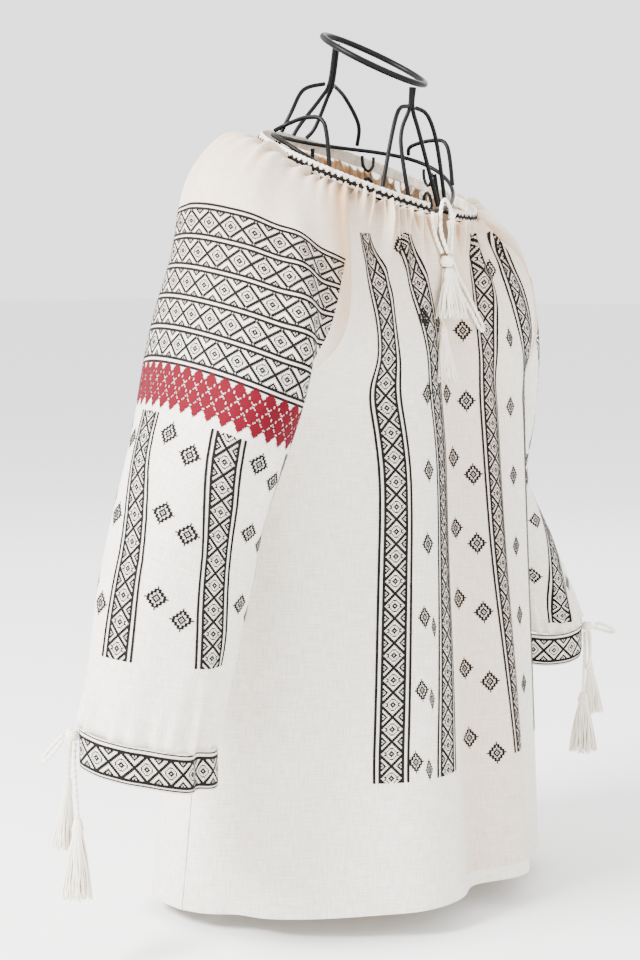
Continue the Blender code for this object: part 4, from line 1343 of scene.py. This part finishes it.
class Embroidery:
    """One piece of thread work, made patch by patch on counted squares."""

    def __init__(self):
        self.bm = bmesh.new()

    def patch(self, surface, columns, rows, chart, place, mirrored=False):
        """Keeps the squares that chart(i, j) names, and moves their corners by place(i, j).

        A chart that is laid mirrored has its faces turned over again, to point outwards.
        """
        bm = bmesh.new()
        bmesh.ops.create_grid(bm, x_segments=columns, y_segments=rows, size=0.5)
        i = np.array([(v.co.x + 0.5) * columns for v in bm.verts])
        j = np.array([(0.5 - v.co.y) * rows for v in bm.verts])
        across, down, found = place(i, j)
        normal = outward(surface, across, down)
        points = surface(across, down) + normal * LIFT
        squares = list(bm.faces)
        corner = np.array([f.calc_center_median() for f in squares])
        square_i = np.floor((corner[:, 0] + 0.5) * columns).astype(int)
        square_j = np.floor((0.5 - corner[:, 1]) * rows).astype(int)
        kept = chart(square_i, square_j)
        bm.verts.index_update()
        sound = np.array([all(found[v.index] for v in f.verts) for f in squares])
        for vert, point in zip(bm.verts, points):
            vert.co = point
        gone = [f for f, keep in zip(squares, kept & sound) if not keep]
        bmesh.ops.delete(bm, geom=gone, context="FACES")
        if mirrored:
            bmesh.ops.reverse_faces(bm, faces=bm.faces)
        mesh = bpy.data.meshes.new("patch")
        bm.to_mesh(mesh)
        bm.free()
        self.bm.from_mesh(mesh)
        bpy.data.meshes.remove(mesh)

    def finish(self, name, thread):
        mesh = bpy.data.meshes.new(name)
        self.bm.to_mesh(mesh)
        self.bm.free()
        mesh.shade_smooth()
        return new_object(name, mesh, thread, "cotton_cloth")


# Charts take whole numbers of stitches and say which squares are worked.


def lozenges(i, j, half_across, half_down):
    """A lattice of toothed lozenges with a ring in each and half an eye between each two."""
    a = np.abs((i + half_across) % (2 * half_across) - half_across)
    b = np.abs((j + half_down) % (2 * half_down) - half_down)
    far = a * half_down / half_across + b
    lattice = (np.abs(far - half_down) <= 0.95) | ((np.abs(far - half_down) <= 2.0) & ((i + j) % 2 == 0))
    teeth = (np.abs(far - half_down + 2) <= 0.5) & ((a - b) % 4 == 0)
    ring = (a + b >= 1) & (a + b <= 2)
    hooks = (a + b == 5) & (np.minimum(a, b) >= 1)
    wings = (a + b == 4) & (np.minimum(a, b) == 0)
    corner = (half_across - a) + (half_down - b)
    eye = (corner <= 4) & (corner != 2)
    return lattice | teeth | ring | hooks | wings | eye


COLUMN_WIDE = 27


def column_chart(i, j):
    """A double line down both sides of one row of lozenges."""
    line = np.isin(i, (0, 1, 4, 5, 21, 22, 25, 26))
    field = (i >= 6) & (i <= 20)
    return line | (field & lozenges(i - 13, j, 8, 9))


BAND_TALL = 25
BANDS = 5


def shoulder_chart(i, j):
    """Five bands of lozenges with a double line between, and one below the last."""
    k = j % BAND_TALL
    line = np.isin(k, (0, 1, 4, 5))
    field = (k >= 6) & (j < BANDS * BAND_TALL)
    shift = 9 * ((j // BAND_TALL) % 2)
    return line | (field & lozenges(i + shift, k - 15, 9, 10))


RED_TALL = 38
RED_HALF = 5.5
RED_RISE = 7.0


def red_chart(i, j):
    """Staggered rows of filled lozenges, parted by lines of single open stitches."""
    a = np.abs((i + 0.5) % (2 * RED_HALF) - RED_HALF)
    b = (j - 5.0) % (2 * RED_RISE) - RED_RISE
    far = a / RED_HALF + np.abs(b) / RED_RISE
    own = j + 0.5 - b
    middle = np.where(far < 1, own, own + np.sign(b) * RED_RISE)
    whole = (middle > 4.5) & (middle < RED_TALL - 4.5)
    parting = (np.abs(far - 1) < 0.09) & (j % 3 != 0)
    return whole & ~parting


DIAMOND = 17


def diamond_chart(i, j):
    """A toothed diamond with a small ring in it, in a square of 17 stitches."""
    a, b = np.abs(i - DIAMOND // 2), np.abs(j - DIAMOND // 2)
    r = a + b
    edge = (r == 6) | (r == 7)
    teeth = ((r == 8) & (a % 2 == 0)) | ((r == 5) & (a % 2 == 1))
    return edge | teeth | (r == 2) | (r == 3) | (r == 0)


def cuff_chart(i, j):
    line = np.isin(j, (0, 3, 4, 22, 23, 25))
    field = (j >= 5) & (j <= 21)
    return line | (field & lozenges(i, j - 13, 9, 9))


def neckband_chart(i, j):
    """A row of teeth that stand on a solid line."""
    k = i % 5
    teeth = ((j == 3) & (k < 3)) | ((j == 2) & (k == 1)) | ((j == 6) & (k > 2))
    return np.isin(j, (4, 5)) | teeth


def along_table(table, level):
    """A table's value at a level, with the corners between its rows rounded."""
    rows = sorted(table)
    near = [
        np.interp(level + off, [row[0] for row in rows], [row[1] for row in rows])
        for off in (-0.032, -0.016, 0.0, 0.016, 0.032)
    ]
    return np.mean(near, axis=0)


# The middle of each embroidered column: height, and distance round the front from its middle.
FRONT_COLUMNS = (
    ((0.605, -0.113), (0.509, -0.1007), (0.423, -0.0871), (0.380, -0.0879), (0.132, -0.1129)),
    ((0.605, -0.055), (0.563, -0.0446), (0.435, -0.0180), (0.391, -0.0185), (0.132, -0.0525)),
    ((0.605, 0.052), (0.583, 0.0575), (0.414, 0.0597), (0.313, 0.0620), (0.261, 0.0655), (0.132, 0.0755)),
    ((0.605, 0.092), (0.580, 0.1004), (0.557, 0.1115), (0.529, 0.1307), (0.453, 0.152), (0.132, 0.168)),
)
COLUMN_TOP = 0.607
COLUMN_FOOT = 0.138

# The middles of the small diamonds: height, distance round, and width as a share.
FRONT_DIAMONDS = (
    ((0.593, -0.068, 0.85), (0.535, -0.0465, 0.85), (0.469, -0.045, 0.85), (0.403, -0.049, 0.8))
    + ((0.340, -0.0572, 0.8), (0.278, -0.0685, 0.75), (0.216, -0.0775, 0.75), (0.155, -0.0885, 0.75))
    + ((0.268, -0.0575, 0.35), (0.207, -0.0670, 0.35), (0.147, -0.0755, 0.4))
    + ((0.529, -0.0177, 0.8), (0.466, 0.0045, 0.8), (0.409, 0.0110, 0.8), (0.346, 0.0098, 0.9))
    + ((0.283, 0.0080, 1.0), (0.220, 0.0105, 1.0), (0.157, 0.0115, 1.0))
    + ((0.522, 0.0270, 1.0), (0.459, 0.0290, 1.0), (0.393, 0.0325, 1.0), (0.331, 0.0325, 1.0))
    + ((0.269, 0.0345, 1.0), (0.206, 0.0360, 1.0), (0.141, 0.0385, 1.0))
    + ((0.576, 0.0780, 0.8), (0.514, 0.0930, 0.8), (0.450, 0.1040, 0.8), (0.386, 0.1080, 0.8))
    + ((0.320, 0.1100, 0.8), (0.255, 0.1130, 0.8), (0.190, 0.1180, 0.8))
)


def embroider_front():
    find = cloth_finder(front_with_folds)
    work = Embroidery()
    rows = round((COLUMN_TOP - COLUMN_FOOT) / (STITCH * 0.985))
    for table in FRONT_COLUMNS:

        def place(i, j, table=table):
            level = COLUMN_TOP - j * STITCH * 0.985
            close = 1 - 0.25 * smooth_step(0.55, 0.61, level)
            return find(along_table(table, level) + (i - COLUMN_WIDE / 2) * STITCH * close, level)

        work.patch(FRONT, COLUMN_WIDE, rows, column_chart, place)
    for level, middle, wide in FRONT_DIAMONDS:

        def place(i, j, level=level, middle=middle, wide=wide):
            return find(middle + (i - DIAMOND / 2) * STITCH * wide, level - (j - DIAMOND / 2) * STITCH)

        work.patch(FRONT, DIAMOND, DIAMOND, diamond_chart, place)
    return work.finish("front_black_thread", BLACK)


SLEEVE_SLOPE = 0.12  # the bands fall towards the front, per metre round
SHOULDER_TOP = 0.125
SHOULDER_STITCH = 0.00113
SHOULDER_WIDE = 198
RED_TOP = 0.2712
RED_STITCH = 0.00115
COLUMN_START = 0.3125
COLUMN_ROWS = 170
# The two outer columns of the lower sleeve: distance down, and distance round.
SLEEVE_COLUMNS = (
    ((0.33, -0.048), (0.40, -0.003), (0.515, 0.0056)),
    ((0.32, 0.038), (0.386, 0.063), (0.515, 0.0865)),
)
SLEEVE_DIAMOND_ROWS = ((0.327, 0.3385), (0.391, 0.403), (0.4595, 0.4745))
SLEEVE_DIAMOND_SHARES = (0.38, 0.66)


def sleeve_column(number, level):
    """The middle of a column of the lower sleeve, whose columns go all the way round."""
    first = along_table(SLEEVE_COLUMNS[0], level)
    second = along_table(SLEEVE_COLUMNS[1], level)
    if number <= 0:
        return first + number * 0.077
    return second + (number - 1) * 0.077


def embroider_sleeve(side):
    mirrored = side == "left"
    flip = -1.0 if mirrored else 1.0
    surface = SLEEVES[side]
    find = cloth_finder(sleeve_with_folds(side), SLEEVE_SLOPE * flip)
    black, red = Embroidery(), Embroidery()

    def shoulder(top, pitch):
        return lambda i, j: find((i - SHOULDER_WIDE / 2) * STITCH * flip, top + j * pitch)

    rows = BANDS * BAND_TALL + 6
    lines = shoulder(SHOULDER_TOP, SHOULDER_STITCH)
    black.patch(surface, SHOULDER_WIDE, rows, shoulder_chart, lines, mirrored)
    red.patch(surface, SHOULDER_WIDE, RED_TALL, red_chart, shoulder(RED_TOP, RED_STITCH), mirrored)
    for number in (-2, -1, 0, 1, 2):

        def place(i, j, number=number):
            level = COLUMN_START + j * STITCH
            narrow = smooth_step(0.36, 0.42, level) * (1 - smooth_step(0.42, 0.5, level))
            pitch = STITCH * (0.92 - 0.12 * narrow)
            return find((sleeve_column(number, level) + (i - COLUMN_WIDE / 2) * pitch) * flip, level)

        black.patch(surface, COLUMN_WIDE, COLUMN_ROWS, column_chart, place, mirrored)
        for pair in SLEEVE_DIAMOND_ROWS:
            for level, share in zip(pair, SLEEVE_DIAMOND_SHARES):
                if number == 2:
                    continue
                near, far = sleeve_column(number, level), sleeve_column(number + 1, level)
                middle = near + (far - near) * share

                def spot(i, j, level=level, middle=middle):
                    distance = middle + (i - DIAMOND / 2) * STITCH
                    return find(distance * flip, level + (j - DIAMOND / 2) * STITCH)

                black.patch(surface, DIAMOND, DIAMOND, diamond_chart, spot, mirrored)
    return [
        black.finish("sleeve_" + side + "_black_thread", BLACK),
        red.finish("sleeve_" + side + "_red_thread", RED),
    ]


def embroider_band(name, surface, rows, chart, first, last, repeat):
    """A chart all along a narrow band, a whole number of repeats long."""
    turns = np.linspace(-1.0, 1.0, 2001)
    middle = surface(turns, np.full(turns.shape, 0.5))
    length = np.linalg.norm(np.diff(middle, axis=0), axis=-1).sum()
    columns = round(length / STITCH / repeat) * repeat
    work = Embroidery()

    def place(i, j):
        across = -0.9985 + 1.997 * i / columns
        return across, first + (last - first) * j / rows, np.ones(i.shape, bool)

    work.patch(surface, columns, rows, chart, place)
    return work.finish(name, BLACK)


threads = {"front": [embroider_front()]}
for _side in ("right", "left"):
    threads[_side] = embroider_sleeve(_side)
    threads["cuff_" + _side] = [
        embroider_band("cuff_" + _side + "_thread", CUFFS[_side], 26, cuff_chart, 0.04, 0.955, 18)
    ]
threads["neckband"] = [embroider_band("neckband_thread", NECKBAND, 8, neckband_chart, 0.02, 0.98, 5)]


# ---------------------------------------------------------------- the hem


HEM_HALF_LONG = 0.3
HEM_WIDE = 0.012
HEM_TOP = 1.9705  # where the turning ends, as down
HEM_COLUMNS = 220
HEM_ROWS = 6


def hem(name, surface):
    """The turned-up hem, which shows as a smooth double strip along the lower edge."""
    bm = bmesh.new()
    bmesh.ops.create_grid(bm, x_segments=HEM_COLUMNS, y_segments=HEM_ROWS, size=0.5)
    across = np.array([v.co.x * 2 for v in bm.verts]) * 0.998
    share = np.array([0.5 - v.co.y for v in bm.verts])
    down = HEM_TOP + (2 - HEM_TOP) * share
    lift = 0.00045 * np.sin(np.pi * np.clip(share, 0, 1)) ** 0.35 + 0.00002
    points = surface(across, down) + outward(surface, across, down) * lift[:, None]
    for vert, point in zip(bm.verts, points):
        vert.co = point
    mesh = bpy.data.meshes.new(name)
    bm.to_mesh(mesh)
    bm.free()
    lay_weave(mesh, np.stack([across * HEM_HALF_LONG, share * HEM_WIDE], axis=-1))
    mesh.shade_smooth()
    return new_object(name, mesh, COTTON, "cotton_cloth")


threads["front"].append(hem("front_hem", FRONT))
threads["back"] = [hem("back_hem", BACK)]

# The cut of each piece and, where the cut is wider than what shows, the area that shows.
for _name, _flat, _area, _rests in (
    ("front", (0.66, 0.62), 0.31, "form_hoop_shoulder"),
    ("back", (0.66, 0.68), 0.32, "form_hoop_shoulder"),
    ("right", (0.46, 0.58), 0.19, "form_hoop_shoulder"),
    ("left", (0.46, 0.58), 0.16, "form_hoop_shoulder"),
    ("neckband", (0.64, 0.010), None, "front_panel"),
    ("cuff_right", (0.34, 0.033), None, "sleeve_right"),
    ("cuff_left", (0.34, 0.033), None, "sleeve_left"),
):
    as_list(threads[_name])

base = bpy.data.objects["form_base"]
base.data.materials.clear()
base.data.materials.append(IRON)


# ---------------------------------------------------------------- floor and light


def make_stage():
    """A pale floor, a wide soft light from the left of the camera and a weak one opposite."""
    mesh = bpy.data.meshes.new("floor")
    bm = bmesh.new()
    bmesh.ops.create_grid(bm, x_segments=1, y_segments=1, size=30.0)
    bm.to_mesh(mesh)
    bm.free()
    floor = bpy.data.objects.new("floor", mesh)
    bpy.context.scene.collection.objects.link(floor)
    pale, _, _ = look("floor, matt white", "#f4f4f3", 1.0)
    mesh.materials.append(pale)
    # name, place, the point it faces, side in metres, watts
    for name, place, aim, size, power in (
        ("key", (-2.3, 0.5, 2.1), (0, 0, 0.4), 1.0, 340.0),
        ("front", (-0.6, -2.8, 1.6), (0, 0, 0.35), 1.8, 50.0),
        ("fill", (2.2, 0.8, 1.8), (0, 0, 0.4), 2.0, 30.0),
        ("rim", (-0.6, 2.4, 2.0), (0, 0, 0.4), 1.8, 30.0),
    ):
        lamp = bpy.data.lights.new(name, "AREA")
        lamp.size = size
        lamp.energy = power
        thing = bpy.data.objects.new(name, lamp)
        thing.location = place
        thing.rotation_euler = (Vector(aim) - Vector(place)).to_track_quat("-Z", "Y").to_euler()
        bpy.context.scene.collection.objects.link(thing)
    world = bpy.data.worlds.new("studio")
    world.use_nodes = True
    world.node_tree.nodes["Background"].inputs[0].default_value = (1.0, 1.0, 1.0, 1.0)
    world.node_tree.nodes["Background"].inputs[1].default_value = 2.3
    bpy.context.scene.world = world


make_stage()
